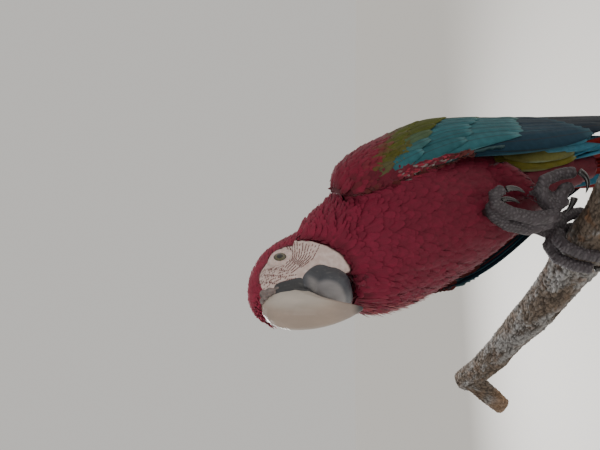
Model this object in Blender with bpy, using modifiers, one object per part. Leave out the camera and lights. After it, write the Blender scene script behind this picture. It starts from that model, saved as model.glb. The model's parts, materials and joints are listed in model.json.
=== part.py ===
"""Green-winged macaw, life size, perched on a short branch over a display stand.

The bird faces -Y with its left side at +X. The origin is the middle of the stand's underside.
Everything on the bird is laid out in millimetres above the top of the perch, under one empty
that lifts it to the perch's height.
"""

import math

import bmesh
import bpy
from mathutils import Matrix, Vector

for old in list(bpy.data.objects):
    bpy.data.objects.remove(old, do_unlink=True)

# ---------------------------------------------------------------- driving dimensions
MM = 0.001
GAP = 0.3 * MM                   # air between neighbouring pieces
PERCH_TOP = 480 * MM             # height of the top of the perch above the floor
BIRD_SHIFT_Y = -20 * MM          # the perched bird stands a little forward of the stand's middle

PERCH_RADIUS = 20 * MM
PERCH_HEADING = math.radians(169.4)   # the branch runs back and to the bird's right
PERCH_RISE = 38                       # mm that it climbs, more and more, over 300 mm
PERCH_BEND = 0.00115                  # how fast its near end curves away, per mm
PERCH_TAPER = 0.28                    # how much thinner it is 300 mm away
PERCH_REACH_FAR = 320 * MM
PERCH_REACH_NEAR = 120 * MM
FORK_AT = 306                         # mm along the branch

BASE_RADIUS = 140 * MM
BASE_THICKNESS = 18 * MM
ROD_RADIUS = 6 * MM

EYE_RADIUS = 8.2 * MM
HEAD_CENTRE = (-1, -74, 231)     # midpoint between the eyes
HEAD_TURN = math.radians(17.0)   # turned to its left
HEAD_PITCH = math.radians(2.9)   # bill raised a touch
HEAD_ROLL = math.radians(9.4)    # left side of the head carried higher

TAIL_ROOT = (0, 96, -14)
TAIL_LEAN = math.radians(17.0)   # from the vertical
TAIL_LENGTHS = (438, 392, 340, 292, 246, 204)
TAIL_WIDTH = 27

# ---------------------------------------------------------------- scene and materials
model = bpy.data.collections.new("macaw")
bpy.context.scene.collection.children.link(model)
cutters = bpy.data.collections.new("cutters")
bpy.context.scene.collection.children.link(cutters)


def make_material(name, colour, roughness, metallic=0.0):
    material = bpy.data.materials.new(name)
    material.use_nodes = True
    shader = material.node_tree.nodes["Principled BSDF"]
    shader.inputs["Base Color"].default_value = (*colour, 1.0)
    shader.inputs["Roughness"].default_value = roughness
    shader.inputs["Metallic"].default_value = metallic
    return material


RED = make_material("red feathers", (0.35, 0.02, 0.03), 0.7)
GREEN = make_material("green coverts", (0.10, 0.16, 0.02), 0.6)
BLUE = make_material("blue quills", (0.02, 0.07, 0.16), 0.5)
HORN = make_material("pale horn", (0.62, 0.52, 0.42), 0.4)
BLACK_HORN = make_material("black horn", (0.03, 0.03, 0.035), 0.35)
EYE = make_material("eye", (0.05, 0.04, 0.02), 0.1)
SCALES = make_material("grey scaly skin", (0.09, 0.08, 0.09), 0.6)
BARK = make_material("bark", (0.20, 0.17, 0.14), 0.9)
LACQUER = make_material("black lacquer", (0.02, 0.02, 0.02), 0.35)
STEEL = make_material("dark steel", (0.12, 0.12, 0.12), 0.35, 1.0)

bird = bpy.data.objects.new("bird", None)
bird.location = (0, BIRD_SHIFT_Y, PERCH_TOP)
model.objects.link(bird)


def head_axes():
    """Forward, left and up of the head, as unit vectors of the bird."""
    turn = Matrix.Rotation(HEAD_TURN, 3, "Z")
    pitch = Matrix.Rotation(-HEAD_PITCH, 3, "X")
    roll = Matrix.Rotation(-HEAD_ROLL, 3, "Y")
    frame = turn @ pitch @ roll
    return frame @ Vector((0, -1, 0)), frame @ Vector((1, 0, 0)), frame @ Vector((0, 0, 1))


HEAD_FORWARD, HEAD_LEFT, HEAD_UP = head_axes()


def in_head(forward, left, up):
    """A place given from the midpoint of the eyes, as a place on the bird."""
    return Vector(HEAD_CENTRE) + HEAD_FORWARD * forward + HEAD_LEFT * left + HEAD_UP * up


# ---------------------------------------------------------------- making shapes
def curve_through(stations, t):
    """Smooth value at t (0 to 1) through evenly numbered stations, each a tuple of numbers."""
    last = len(stations) - 1
    place = min(max(t, 0.0), 1.0) * last
    first = min(int(place), last - 1)
    u = place - first
    before = stations[max(first - 1, 0)]
    start = stations[first]
    end = stations[first + 1]
    after = stations[min(first + 2, last)]
    values = []
    for a, b, c, d in zip(before, start, end, after):
        values.append(0.5 * (2 * b + (c - a) * u + (2 * a - 5 * b + 4 * c - d) * u * u
                             + (3 * b - a - 3 * c + d) * u ** 3))
    return values


def add_object(name, mesh, material, parent=bird, collection=model):
    item = bpy.data.objects.new(name, mesh)
    item.parent = parent
    mesh.materials.append(material)
    collection.objects.link(item)
    return item


def loft(name, rings, material):
    """A closed solid through rings of equal counts of places in millimetres, with flat ends."""
    work = bmesh.new()
    rows = [[work.verts.new(Vector(place) * MM) for place in ring] for ring in rings]
    count = len(rows[0])
    for lower, upper in zip(rows, rows[1:]):
        for i in range(count):
            j = (i + 1) % count
            work.faces.new((lower[i], lower[j], upper[j], upper[i]))
    work.faces.new(rows[0])
    work.faces.new(rows[-1])
    bmesh.ops.recalc_face_normals(work, faces=work.faces)
    mesh = bpy.data.meshes.new(name)
    work.to_mesh(mesh)
    work.free()
    mesh.shade_smooth()
    return add_object(name, mesh, material)


def limb(name, places, radii, material, resolution=2, parent=bird):
    """A round tapering bar through places in millimetres, made from a bevelled curve."""
    curve = bpy.data.curves.new(name, "CURVE")
    curve.dimensions = "3D"
    curve.bevel_depth = MM
    curve.bevel_resolution = resolution
    curve.use_fill_caps = True
    spline = curve.splines.new("POLY")
    spline.points.add(len(places) - 1)
    for point, place, radius in zip(spline.points, places, radii):
        point.co = (*(Vector(place) * MM), 1.0)
        point.radius = radius
    shape = bpy.data.objects.new(name + " path", curve)
    model.objects.link(shape)
    bpy.context.view_layer.update()
    mesh = bpy.data.meshes.new_from_object(shape.evaluated_get(bpy.context.evaluated_depsgraph_get()))
    bpy.data.objects.remove(shape, do_unlink=True)
    work = bmesh.new()
    work.from_mesh(mesh)
    bmesh.ops.remove_doubles(work, verts=work.verts, dist=0.00001)
    bmesh.ops.recalc_face_normals(work, faces=work.faces)
    work.to_mesh(mesh)
    work.free()
    mesh.materials.clear()
    mesh.shade_smooth()
    return add_object(name, mesh, material, parent)


def freeze(item):
    """Turn an object's modifiers into mesh."""
    bpy.context.view_layer.update()
    graph = bpy.context.evaluated_depsgraph_get()
    mesh = bpy.data.meshes.new_from_object(item.evaluated_get(graph))
    item.modifiers.clear()
    item.data = mesh


def swollen(tool, gap=GAP):
    """A cutter in the tool's shape, larger by the gap all over."""
    cutter = bpy.data.objects.new("cut of " + tool.name, tool.data.copy())
    cutter.parent = tool.parent
    cutter.hide_render = True
    cutter.display_type = "WIRE"
    cutters.objects.link(cutter)
    work = bmesh.new()
    work.from_mesh(cutter.data)
    work.normal_update()
    moves = [(vert, vert.normal * gap * min(vert.calc_shell_factor(), 1.5)) for vert in work.verts]
    for vert, move in moves:
        vert.co += move
    work.to_mesh(cutter.data)
    work.free()
    return cutter


def carve(target, tool):
    """Cut the tool's shape out of the target, leaving an even gap."""
    cut_away(target, swollen(tool))


def cut_away(target, cutter):
    cut = target.modifiers.new("cut", "BOOLEAN")
    cut.operation = "DIFFERENCE"
    cut.solver = "EXACT"
    cut.object = cutter
    freeze(target)


def keep_largest(item):
    """Drop crumbs that a cut left behind."""
    work = bmesh.new()
    work.from_mesh(item.data)
    bmesh.ops.remove_doubles(work, verts=work.verts, dist=0.00002)
    waiting = set(work.faces)
    islands = []
    while waiting:
        stack = [waiting.pop()]
        island = set(stack)
        while stack:
            face = stack.pop()
            for edge in face.edges:
                for other in edge.link_faces:
                    if other in waiting:
                        waiting.discard(other)
                        island.add(other)
                        stack.append(other)
        islands.append(island)
    islands.sort(key=lambda group: -sum(face.calc_area() for face in group))
    crumbs = [face for group in islands[1:] for face in group]
    bmesh.ops.delete(work, geom=crumbs, context="FACES")
    work.to_mesh(item.data)
    work.free()


# ---------------------------------------------------------------- trunk and neck
# Level sections: height, front, back, half width.
TRUNK = (
    (226, -88, -17, 30),
    (211, -87, 7, 34.5),
    (196, -88, 27, 42),
    (178, -88, 54, 53),
    (160, -85, 70, 60),
    (140, -77, 82, 62),
    (118, -63, 91, 61),
    (96, -48, 97, 55),
    (74, -33, 100, 47),
    (52, -15, 103, 39),
    (30, 8, 105, 32),
    (8, 30, 108, 25),
    (-14, 50, 111, 19),
    (-36, 67, 113, 14.5),
    (-58, 82, 115, 10),
)
TRUNK_SIDES = 24


def trunk_ring(t):
    height, front, back, half_width = curve_through(TRUNK, t)
    middle = 0.5 * (front + back)
    depth = 0.5 * (back - front)
    ring = []
    for i in range(TRUNK_SIDES):
        angle = 2 * math.pi * i / TRUNK_SIDES
        side = math.copysign(abs(math.sin(angle)) ** 0.92, math.sin(angle))
        along = math.copysign(abs(math.cos(angle)) ** 0.96, math.cos(angle))
        ring.append((half_width * side, middle + depth * along, height))
    return ring


def trunk_piece(name, start, end, rings):
    span = [start + (end - start) * i / (rings - 1) for i in range(rings)]
    sections = [trunk_ring(t) for t in span]
    half = 0.5 * GAP / MM
    if start > 0:
        sections[0] = [(x, y, z - half) for x, y, z in sections[0]]
    if end < 1:
        sections[-1] = [(x, y, z + half) for x, y, z in sections[-1]]
    return loft(name, sections, RED)


neck = trunk_piece("neck", 0.0, 0.20, 5)
breast = trunk_piece("breast", 0.20, 0.48, 7)
belly = trunk_piece("belly", 0.48, 0.76, 6)
vent = trunk_piece("vent", 0.76, 1.0, 6)

# ---------------------------------------------------------------- head
# Sections across the head, from the bill back: forward, top, bottom, half width.
SKULL = (
    (30, 20.5, -18, 16.5),
    (23, 26.5, -31, 20.5),
    (11, 30, -43, 24.6),
    (-4, 32.5, -49, 27.5),
    (-18, 31.5, -50, 30.5),
    (-32, 27.5, -46, 31.0),
    (-43, 18, -36, 25.5),
    (-50, 4, -22, 15.0),
)
SKULL_SIDES = 18


def skull_ring(t):
    forward, top, bottom, half_width = curve_through(SKULL, t)
    middle = 0.5 * (top + bottom)
    rise = 0.5 * (top - bottom)
    ring = []
    for i in range(SKULL_SIDES):
        angle = 2 * math.pi * i / SKULL_SIDES
        side = math.copysign(abs(math.sin(angle)) ** 0.85, math.sin(angle))
        ring.append(in_head(forward, half_width * side, middle + rise * math.cos(angle)))
    return ring


head = loft("head", [skull_ring(i / 11) for i in range(12)], RED)

# Upper bill: ridge (forward, up), inner edge (forward, up), half width.
UPPER_BILL = (
    (25, 15.5, 11, -16, 15.0),
    (36.5, 13, 19, -21, 16.0),
    (45.5, 4, 25, -25.5, 15.4),
    (50.5, -9, 30, -31, 13.8),
    (52, -24, 34.5, -37, 11.4),
    (50.5, -39, 37.5, -45, 8.4),
    (46.5, -52, 39.5, -53, 5.0),
    (42, -61, 40.5, -59.8, 1.4),
)
LOWER_BILL = (
    (-9, -20, -9, -37, 13.0),
    (1, -15, -2, -46, 16.4),
    (11, -16, 8, -51.5, 17.0),
    (20, -22, 17.5, -50.5, 15.4),
    (28, -29, 25.5, -45.5, 11.0),
    (33, -36, 32, -40.5, 5.0),
)


def bill_ring(stations, t, sides, squareness):
    ridge_f, ridge_u, inner_f, inner_u, half_width = curve_through(stations, t)
    ring = []
    for i in range(sides):
        angle = 2 * math.pi * i / sides
        along = 0.5 - 0.5 * math.cos(angle)
        side = math.copysign(abs(math.sin(angle)) ** squareness, math.sin(angle))
        widest = 0.80 + 0.35 * along
        ring.append(in_head(ridge_f + (inner_f - ridge_f) * along,
                            half_width * min(1.0, widest) * side,
                            ridge_u + (inner_u - ridge_u) * along))
    return ring


bill_upper = loft("bill_upper", [bill_ring(UPPER_BILL, i / 13, 14, 0.8) for i in range(14)], HORN)
bill_lower = loft("bill_lower", [bill_ring(LOWER_BILL, i / 8, 12, 0.75) for i in range(9)],
                  BLACK_HORN)
carve(bill_lower, bill_upper)
keep_largest(bill_lower)

eyes = []
for side_name, sign in (("left", 1), ("right", -1)):
    bpy.ops.mesh.primitive_uv_sphere_add(segments=12, ring_count=8, radius=EYE_RADIUS)
    eye = bpy.context.object
    eye.name = "eye_" + side_name
    eye.data.name = eye.name
    for holder in list(eye.users_collection):
        holder.objects.unlink(eye)
    model.objects.link(eye)
    eye.parent = bird
    eye.data.transform(Matrix.Translation(in_head(-1, sign * 20.4, 1.5) * MM))
    eye.data.materials.append(EYE)
    eyes.append(eye)

for tool in (head, bill_upper, bill_lower):
    carve(neck, tool)
    carve(breast, tool)
keep_largest(neck)
keep_largest(breast)
for tool in (bill_upper, bill_lower, *eyes):
    carve(head, tool)
keep_largest(head)

# ---------------------------------------------------------------- wings
# Sections from the shoulder to the tip: front edge, back edge, outward bulge, thickness.
WING = (
    (47, -16, 199, 46, 4, 200, 5, 8),
    (56, -34, 187, 50, 26, 192, 10, 14),
    (60, -36, 170, 47, 50, 175, 16, 16),
    (62, -25, 148, 43, 73, 153, 19, 16),
    (63, -9, 119, 40, 97, 126, 21, 16),
    (62, 8, 93, 36, 112, 98, 19, 14),
    (60, 23, 70, 32, 123, 66, 15, 11),
    (56, 34, 46, 29, 133, 34, 12, 9),
    (50, 50, 18, 26, 144, 2, 9, 7),
    (43, 72, -18, 24, 151, -32, 6, 5.5),
    (35, 97, -56, 21, 156, -66, 4, 4.5),
    (27, 121, -97, 18, 160, -104, 2, 3.2),
    (19, 150, -134, 16, 162, -144, 0.6, 1.6),
)
WING_HALF = 7
DROOP = (27, 17)                 # the right wing hangs out and forward at its middle


def wing_ring(t, sign, droop):
    values = curve_through(WING, t)
    front = Vector(values[0:3])
    back = Vector(values[3:6])
    bulge, thick = values[6:8]
    chord = back - front
    outward = Vector((chord.y, -chord.x, 0)).normalized()
    swing = droop * max(0.0, math.sin(math.pi * t / 1.04)) ** 5
    ring = []
    for i in range(WING_HALF + 1):
        u = i / WING_HALF
        lift = math.sin(math.pi * u) ** 0.8 * bulge
        ring.append(front + chord * u + outward * lift)
    for i in range(WING_HALF - 1, 0, -1):
        u = i / WING_HALF
        lift = math.sin(math.pi * u) ** 0.8 * bulge - thick * math.sin(math.pi * u) ** 0.35
        ring.append(front + chord * u + outward * lift)
    return [(sign * (p.x + swing * DROOP[0]), p.y - swing * DROOP[1], p.z) for p in ring]


def wing_piece(name, start, end, rings, sign, droop, material):
    step = GAP / MM / 380
    start = start + step if start > 0 else start
    sections = [wing_ring(start + (end - start) * i / (rings - 1), sign, droop)
                for i in range(rings)]
    return loft(name, sections, material)


for side_name, sign, droop in (("left", 1, 0.0), ("right", -1, 1.0)):
    pieces = (
        wing_piece("wing_" + side_name + "_shoulder", 0.0, 0.29, 6, sign, droop, RED),
        wing_piece("wing_" + side_name + "_coverts", 0.29, 0.57, 6, sign, droop, GREEN),
        wing_piece("wing_" + side_name + "_quills", 0.57, 1.0, 8, sign, droop, BLUE),
    )
    for piece in pieces:
        for body in (neck, breast, belly, vent):
            carve(body, piece)
for body in (neck, breast, belly, vent):
    keep_largest(body)

# ---------------------------------------------------------------- tail
tail_down = Vector((0, math.sin(TAIL_LEAN), -math.cos(TAIL_LEAN)))
tail_back = Vector((0, math.cos(TAIL_LEAN), math.sin(TAIL_LEAN)))


def tail_feather(name, number, sign):
    """Feather 0 is the longest, on top at the back; the rest lie in front of it, spread a little."""
    length = TAIL_LENGTHS[number]
    spread = math.radians(0.55 + 0.75 * number) * sign
    rest = Vector(TAIL_ROOT) + tail_back * (6 - 3.1 * number - (1.5 if sign < 0 else 0))
    rest = rest + Vector((sign * (6.5 + 1.6 * number), 0, 0))
    down = (Matrix.Rotation(-spread, 3, tail_back) @ tail_down).normalized()
    across = tail_back.cross(down).normalized()
    rings = []
    for i in range(8):
        u = i / 7
        half = TAIL_WIDTH * 0.5 * (0.42 + 0.62 * math.sin(min(1.0, u * 1.7) * math.pi / 2))
        half *= math.sqrt(max(0.0, 1 - max(0.0, (u - 0.72) / 0.285) ** 2))
        half = max(half, 1.2)
        thick = 0.55 - 0.22 * u
        sag = 5.0 * u * u
        middle = rest + down * (length * u) - tail_back * sag
        ring = []
        for k in range(6):
            angle = 2 * math.pi * k / 6
            curl = 1.1 * math.cos(angle) ** 2 * half / 13
            ring.append(middle + across * (half * math.cos(angle))
                        + tail_back * (thick * math.sin(angle) - curl))
        rings.append(ring)
    return loft(name, rings, BLUE if number < 1 else RED)


tail = []
for number in range(len(TAIL_LENGTHS)):
    for side_name, sign in (("left", 1), ("right", -1)):
        tail.append(tail_feather("tail_%s_%d" % (side_name, number + 1), number, sign))
for feather in tail:
    carve(vent, feather)
keep_largest(vent)

# ---------------------------------------------------------------- perch
away = Vector((math.cos(PERCH_HEADING), math.sin(PERCH_HEADING), 0))
aside = away.cross(Vector((0, 0, 1)))
PERCH_MIDDLE = Vector((0, -14, -20))


def branch_place(distance):
    """A place on the branch's axis, that far (mm) towards its fork."""
    bow = 2.5 * math.sin(distance / 62.0) + 1.2 * math.sin(distance / 23.0)
    far = max(0.0, distance) / 300
    level_top = PERCH_RADIUS / MM * PERCH_TAPER * far
    bend = PERCH_BEND * min(0.0, distance) ** 2
    return (PERCH_MIDDLE + away * distance + aside * (bow + bend)
            + Vector((0, 0, PERCH_RISE * far ** 2 + level_top)))


def branch_radius(distance):
    taper = 1.0 - PERCH_TAPER * max(0.0, distance) / 300
    return PERCH_RADIUS / MM * taper * (1 + 0.03 * math.sin(distance / 17.0))


def branch_piece(name, steps, resolution):
    near_end = -PERCH_REACH_NEAR / MM
    far_end = PERCH_REACH_FAR / MM
    marks = [near_end + (far_end - near_end) * i / steps for i in range(steps + 1)]
    places = [branch_place(mark) for mark in marks]
    return limb(name, places, [branch_radius(mark) for mark in marks], BARK, resolution)


perch = branch_piece("perch_branch", 20, 3)
fork_start = branch_place(FORK_AT)
fork_way = (away * 0.35 - aside * 0.5 + Vector((0, 0, -0.75))).normalized()
fork = limb("perch_fork", [fork_start + fork_way * step for step in (0, 22, 40, 58)],
            (13.5, 13.5, 12.5, 11.5), BARK, resolution=3)
carve(fork, perch)
keep_largest(fork)

# ---------------------------------------------------------------- legs
PALMS = {"right": (-2, -8, 7.5), "left": (28, -16, 18)}
LEGS = {
    "right": ((-16, 30, 52), (-10, 16, 32), (-5, 3, 18)),
    "left": ((31, 28, 58), (33, 12, 42), (33, -2, 27)),
}
# Each toe: its joints from the palm outwards, then the claw's.
TOES = {
    "right_front_outer": (((-4, -9, 9), (-10, -16, 15), (-13, -27, 11.5), (-14, -35, 0),
                           (-14, -38, -12)),
                          ((-14, -38.5, -17), (-13, -37, -25), (-12, -32, -33), (-11, -26, -37))),
    "right_front_inner": (((0, -10, 8), (0.5, -18, 12), (0, -28, 8.5), (-0.5, -35.5, -2),
                           (-1, -38, -14)),
                          ((-1, -38, -19), (-1, -36, -27), (-1, -31, -34), (-1, -25, -37.5))),
    "right_back_outer": (((-5, -4, 7), (-10, 4, 3), (-13, 10, -7), (-13, 12, -19)),
                         ((-13, 12, -23), (-12, 9, -32), (-11, 3, -39), (-11, -3, -42))),
    "right_back_inner": (((1, -4, 7), (3, 4, 3), (4, 10, -7), (4, 12, -18)),
                         ((4, 12, -22), (4, 9, -31), (4, 3, -38), (4, -3, -41))),
    "left_front_outer": (((29, -23, 21), (30.5, -28, 41), (35.5, -28, 59), (42, -25, 70.5),
                          (48, -20.5, 71.5), (51, -17.5, 65)),
                         ((51.3, -17, 61), (51, -17, 55), (49, -18, 50), (47, -20, 47))),
    "left_front_inner": (((22, -21, 23), (18.5, -27, 42), (22.5, -26.5, 58), (29, -23.6, 69.3),
                          (35.5, -19.5, 72), (39, -16, 66)),
                         ((39.5, -15.5, 62), (39.5, -15.5, 56), (38, -16.5, 51), (36, -18.5, 48))),
    "left_back_outer": (((31, -12, 23), (39, -5, 31), (45, 2, 27), (47.5, 7, 15), (48, 9, 3)),
                        ((48, 9, -1), (46, 6, -5.5), (41, 1, -7), (37, -3, -5))),
    "left_back_inner": (((31, -13, 15), (36, -7, 16), (39, -2, 12), (39.5, 0, 6)),
                        ((39, -1, 3), (35, -6, 3.5), (29, -13, 8), (26, -17, 13))),
}
TOE_RADII = (5.6, 5.2, 5.0, 4.7, 4.6, 4.3, 3.9)

for side_name in ("right", "left"):
    hip, knee, heel = (Vector(place) for place in LEGS[side_name])
    palm = Vector(PALMS[side_name])
    thigh = limb("leg_%s_thigh" % side_name, (hip, hip.lerp(knee, 0.5), knee, knee.lerp(heel, 0.4)),
                 (15, 14.5, 11.5, 8), RED, resolution=3)
    shank = limb("leg_%s_shank" % side_name, (hip.lerp(knee, 0.6), knee, heel, heel.lerp(palm, 0.5),
                                             palm), (5.5, 5.8, 6.6, 7.2, 7.0), SCALES, resolution=3)
    carve(shank, perch)
    carve(thigh, shank)
    carve(thigh, perch)
    keep_largest(thigh)
    for body in (belly, vent):
        carve(body, thigh)
        carve(body, shank)
        keep_largest(body)
    foot = []
    for toe_name, (joints, claw_joints) in TOES.items():
        if not toe_name.startswith(side_name):
            continue
        claw = limb("claw_" + toe_name, claw_joints, (2.9, 2.6, 1.7, 0.5), BLACK_HORN, resolution=1)
        radii = [TOE_RADII[min(i, 6)] for i in range(len(joints))]
        toe = limb("toe_" + toe_name, joints, radii, SCALES)
        whole = swollen(toe)
        carve(toe, shank)
        for neighbour in foot:
            cut_away(toe, neighbour)
        foot.append(whole)
        carve(toe, claw)
        carve(toe, perch)
        carve(claw, perch)
        keep_largest(toe)

# ---------------------------------------------------------------- display stand
base_mesh = bpy.data.meshes.new("stand_base")
work = bmesh.new()
bmesh.ops.create_cone(work, cap_ends=True, segments=36, radius1=BASE_RADIUS, radius2=BASE_RADIUS,
                      depth=BASE_THICKNESS)
bmesh.ops.translate(work, verts=work.verts, vec=(0, 0, BASE_THICKNESS / 2))
work.to_mesh(base_mesh)
work.free()
base = add_object("stand_base", base_mesh, LACQUER, parent=None)
edge = base.modifiers.new("rounded rim", "BEVEL")
edge.width = 3 * MM
edge.segments = 2
edge.limit_method = "ANGLE"
edge.angle_limit = math.radians(50)
freeze(base)

rod_foot = Vector((0, (PERCH_MIDDLE.y + BIRD_SHIFT_Y / MM), BASE_THICKNESS / MM + GAP / MM))
rod_head = Vector((rod_foot.x, rod_foot.y, PERCH_TOP / MM + PERCH_MIDDLE.z - 8))
rod = limb("stand_rod", (rod_foot, rod_foot + Vector((0, 0, 6)), rod_foot + Vector((0, 0, 6.5)),
                         rod_head - Vector((0, 0, 26)), rod_head - Vector((0, 0, 25)), rod_head),
           (16, 16, ROD_RADIUS / MM, ROD_RADIUS / MM, 9, 9), STEEL, resolution=4, parent=None)
carve(rod, perch)
keep_largest(rod)
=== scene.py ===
"""Looks of a life-size green-winged macaw on a cut branch and a display stand.

One skin replaces the solids of flesh. Rows of modelled feathers lie over it, from tiny ones on
the crown to the long quills of wings and tail. Lengths named *_MM are millimetres; meshes are
in metres.
"""
import json
import math

import bmesh
import bpy
import numpy as np
from mathutils import Matrix, Vector, kdtree, noise
from mathutils.bvhtree import BVHTree

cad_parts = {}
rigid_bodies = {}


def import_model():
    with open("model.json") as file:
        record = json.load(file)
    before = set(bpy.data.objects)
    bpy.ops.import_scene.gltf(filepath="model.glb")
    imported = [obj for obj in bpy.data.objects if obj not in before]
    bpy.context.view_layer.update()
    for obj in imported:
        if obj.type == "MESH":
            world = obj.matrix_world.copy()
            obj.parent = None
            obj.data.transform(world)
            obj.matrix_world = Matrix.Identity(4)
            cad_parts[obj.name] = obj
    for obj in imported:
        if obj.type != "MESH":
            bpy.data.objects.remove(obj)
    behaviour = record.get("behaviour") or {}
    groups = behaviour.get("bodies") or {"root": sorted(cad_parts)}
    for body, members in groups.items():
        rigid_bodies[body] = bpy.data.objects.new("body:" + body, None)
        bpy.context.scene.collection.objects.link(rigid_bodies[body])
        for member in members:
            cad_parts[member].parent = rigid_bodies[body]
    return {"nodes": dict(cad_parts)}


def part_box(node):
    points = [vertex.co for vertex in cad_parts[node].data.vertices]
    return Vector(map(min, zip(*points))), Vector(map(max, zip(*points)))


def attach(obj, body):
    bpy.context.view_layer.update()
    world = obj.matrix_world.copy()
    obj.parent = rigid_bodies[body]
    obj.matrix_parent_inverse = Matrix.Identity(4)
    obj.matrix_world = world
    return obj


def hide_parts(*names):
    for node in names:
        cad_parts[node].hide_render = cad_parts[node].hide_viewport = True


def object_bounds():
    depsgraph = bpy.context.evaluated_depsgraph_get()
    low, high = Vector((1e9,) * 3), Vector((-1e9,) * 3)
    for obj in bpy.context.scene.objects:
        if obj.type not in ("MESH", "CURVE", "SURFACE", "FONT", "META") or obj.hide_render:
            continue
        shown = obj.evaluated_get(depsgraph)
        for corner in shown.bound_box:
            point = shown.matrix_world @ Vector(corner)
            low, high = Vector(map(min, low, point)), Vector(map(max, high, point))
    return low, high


for leftover in list(bpy.data.objects):
    bpy.data.objects.remove(leftover)
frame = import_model()
cad_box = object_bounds()
nodes = frame["nodes"]
MM = 0.001
SEED = 7
luck = np.random.default_rng(SEED)
noise.seed_set(SEED)

# ---------------------------------------------------------------- places read from the frame


def middle(*names):
    """The middle of the box round the named CAD nodes."""
    low = np.min([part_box(name)[0] for name in names], axis=0)
    high = np.max([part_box(name)[1] for name in names], axis=0)
    return (low + high) / 2


def unit(vectors):
    vectors = np.asarray(vectors, float)
    return vectors / np.maximum(np.linalg.norm(vectors, axis=-1, keepdims=True), 1e-9)


def smooth_step(low, high, value):
    t = np.clip((value - low) / (high - low), 0, 1)
    return t * t * (3 - 2 * t)


def mixed(first, second, share):
    return np.array(first) * (1 - share) + np.array(second) * share


def blended(colours, other, share):
    """Rows of colours, each taken towards another colour by its own share."""
    colours = np.asarray(colours)
    return colours + np.asarray(share)[:, None] * (np.asarray(other) - colours)


def darker(colour, share):
    return np.array(colour) * share


HEAD_TURN, HEAD_PITCH, HEAD_ROLL = (math.radians(a) for a in (17, 2.9, 9.4))
EYE_LEFT, EYE_RIGHT = middle("eye_left"), middle("eye_right")
EYES = (EYE_LEFT + EYE_RIGHT) / 2
FORWARD = np.array((math.sin(HEAD_TURN) * math.cos(HEAD_PITCH),
                    -math.cos(HEAD_TURN) * math.cos(HEAD_PITCH), math.sin(HEAD_PITCH)))
LEVEL_LEFT = np.array((math.cos(HEAD_TURN), math.sin(HEAD_TURN), 0))
LEFT = LEVEL_LEFT * math.cos(HEAD_ROLL) + np.cross(FORWARD, LEVEL_LEFT) * math.sin(HEAD_ROLL)
UP = np.cross(FORWARD, LEFT)
HEAD = EYES + (FORWARD - 1.5 * UP) * MM


def head_mm(points):
    """Points as forward, left and up of the middle of the head, in millimetres."""
    offset = (np.asarray(points) - HEAD) / MM
    return offset @ FORWARD, offset @ LEFT, offset @ UP


def from_head(forward, left, up):
    return HEAD + (FORWARD * forward + LEFT * left + UP * up) * MM


SPINE = np.array([HEAD, middle("neck"), middle("breast"), middle("belly"), middle("vent"),
                  middle("tail_left_3", "tail_right_3")])

# ---------------------------------------------------------------- colours, linear RGB

# The reds darken from crown to vent: partly the bird's own colour, partly painted shade growing
# down the body.
CROWN_RED = (0.31, 0.028, 0.062)
NECK_RED = (0.205, 0.008, 0.034)
BREAST_RED = (0.142, 0.004, 0.022)
BELLY_RED = (0.115, 0.002, 0.015)
VENT_RED = (0.085, 0.003, 0.011)
WING_RED = (0.175, 0.005, 0.025)
OLIVE = (0.092, 0.090, 0.012)
LEAF = (0.050, 0.100, 0.025)
TEAL = (0.030, 0.115, 0.135)
PALE_TEAL = (0.10, 0.24, 0.26)
SKY = (0.045, 0.19, 0.30)
NIGHT = (0.010, 0.030, 0.062)
TAIL_RED = (0.22, 0.015, 0.014)
CHIN_SHADED_RED = (0.125, 0.010, 0.026)
# Painted light shining through the thin brow feathers.
BROW_LIT_PINK = (0.50, 0.052, 0.110)
BACKLIT_PINK = (0.42, 0.075, 0.085)
BACKLIT_PALE = (0.62, 0.38, 0.36)
BARE_SKIN = (0.63, 0.515, 0.48)
FOOT_GREY = (0.058, 0.049, 0.056)

# ---------------------------------------------------------------- mesh tools


def shown(name, mesh, material):
    """Links a mesh as a piece of the bird."""
    piece = linked(name, mesh)
    mesh.name = name
    mesh.materials.clear()
    mesh.materials.append(material)
    return piece


def finish(piece, slot, *replaced):
    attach(piece, "root")
    if replaced:
        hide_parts(*replaced)


def applied(thing):
    """The mesh of an object with its modifiers applied; the object is removed."""
    evaluated = thing.evaluated_get(bpy.context.evaluated_depsgraph_get())
    mesh = bpy.data.meshes.new_from_object(evaluated)
    bpy.data.objects.remove(thing)
    return mesh


def linked(name, data):
    thing = bpy.data.objects.new(name, data)
    bpy.context.scene.collection.objects.link(thing)
    return thing


def thickened(piece, thickness_mm):
    """The mesh of a piece given a wall that grows inwards."""
    solid = piece.modifiers.new("thickness", "SOLIDIFY")
    solid.thickness = thickness_mm * MM
    solid.offset = -1
    return applied(piece)


def voxel_mesh(shape, voxel_mm):
    """One closed mesh round everything in an edit mesh, which is freed."""
    mesh = bpy.data.meshes.new("joined")
    shape.to_mesh(mesh)
    shape.free()
    thing = linked("joined", mesh)
    remesh = thing.modifiers.new("remesh", "REMESH")
    remesh.mode = "VOXEL"
    remesh.voxel_size = voxel_mm * MM
    return applied(thing)


def remeshed(names, voxel_mm, swell_mm=0.0):
    """One closed mesh round copies of CAD nodes, each swollen a little so that they join."""
    joined = bmesh.new()
    for name in names:
        copy = bmesh.new()
        copy.from_mesh(nodes[name].data)
        bmesh.ops.remove_doubles(copy, verts=copy.verts, dist=1e-6)
        copy.normal_update()
        for vertex in copy.verts:
            vertex.co += vertex.normal * swell_mm * MM
        part = bpy.data.meshes.new(name)
        copy.to_mesh(part)
        copy.free()
        joined.from_mesh(part)
    return voxel_mesh(joined, voxel_mm)


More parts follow.
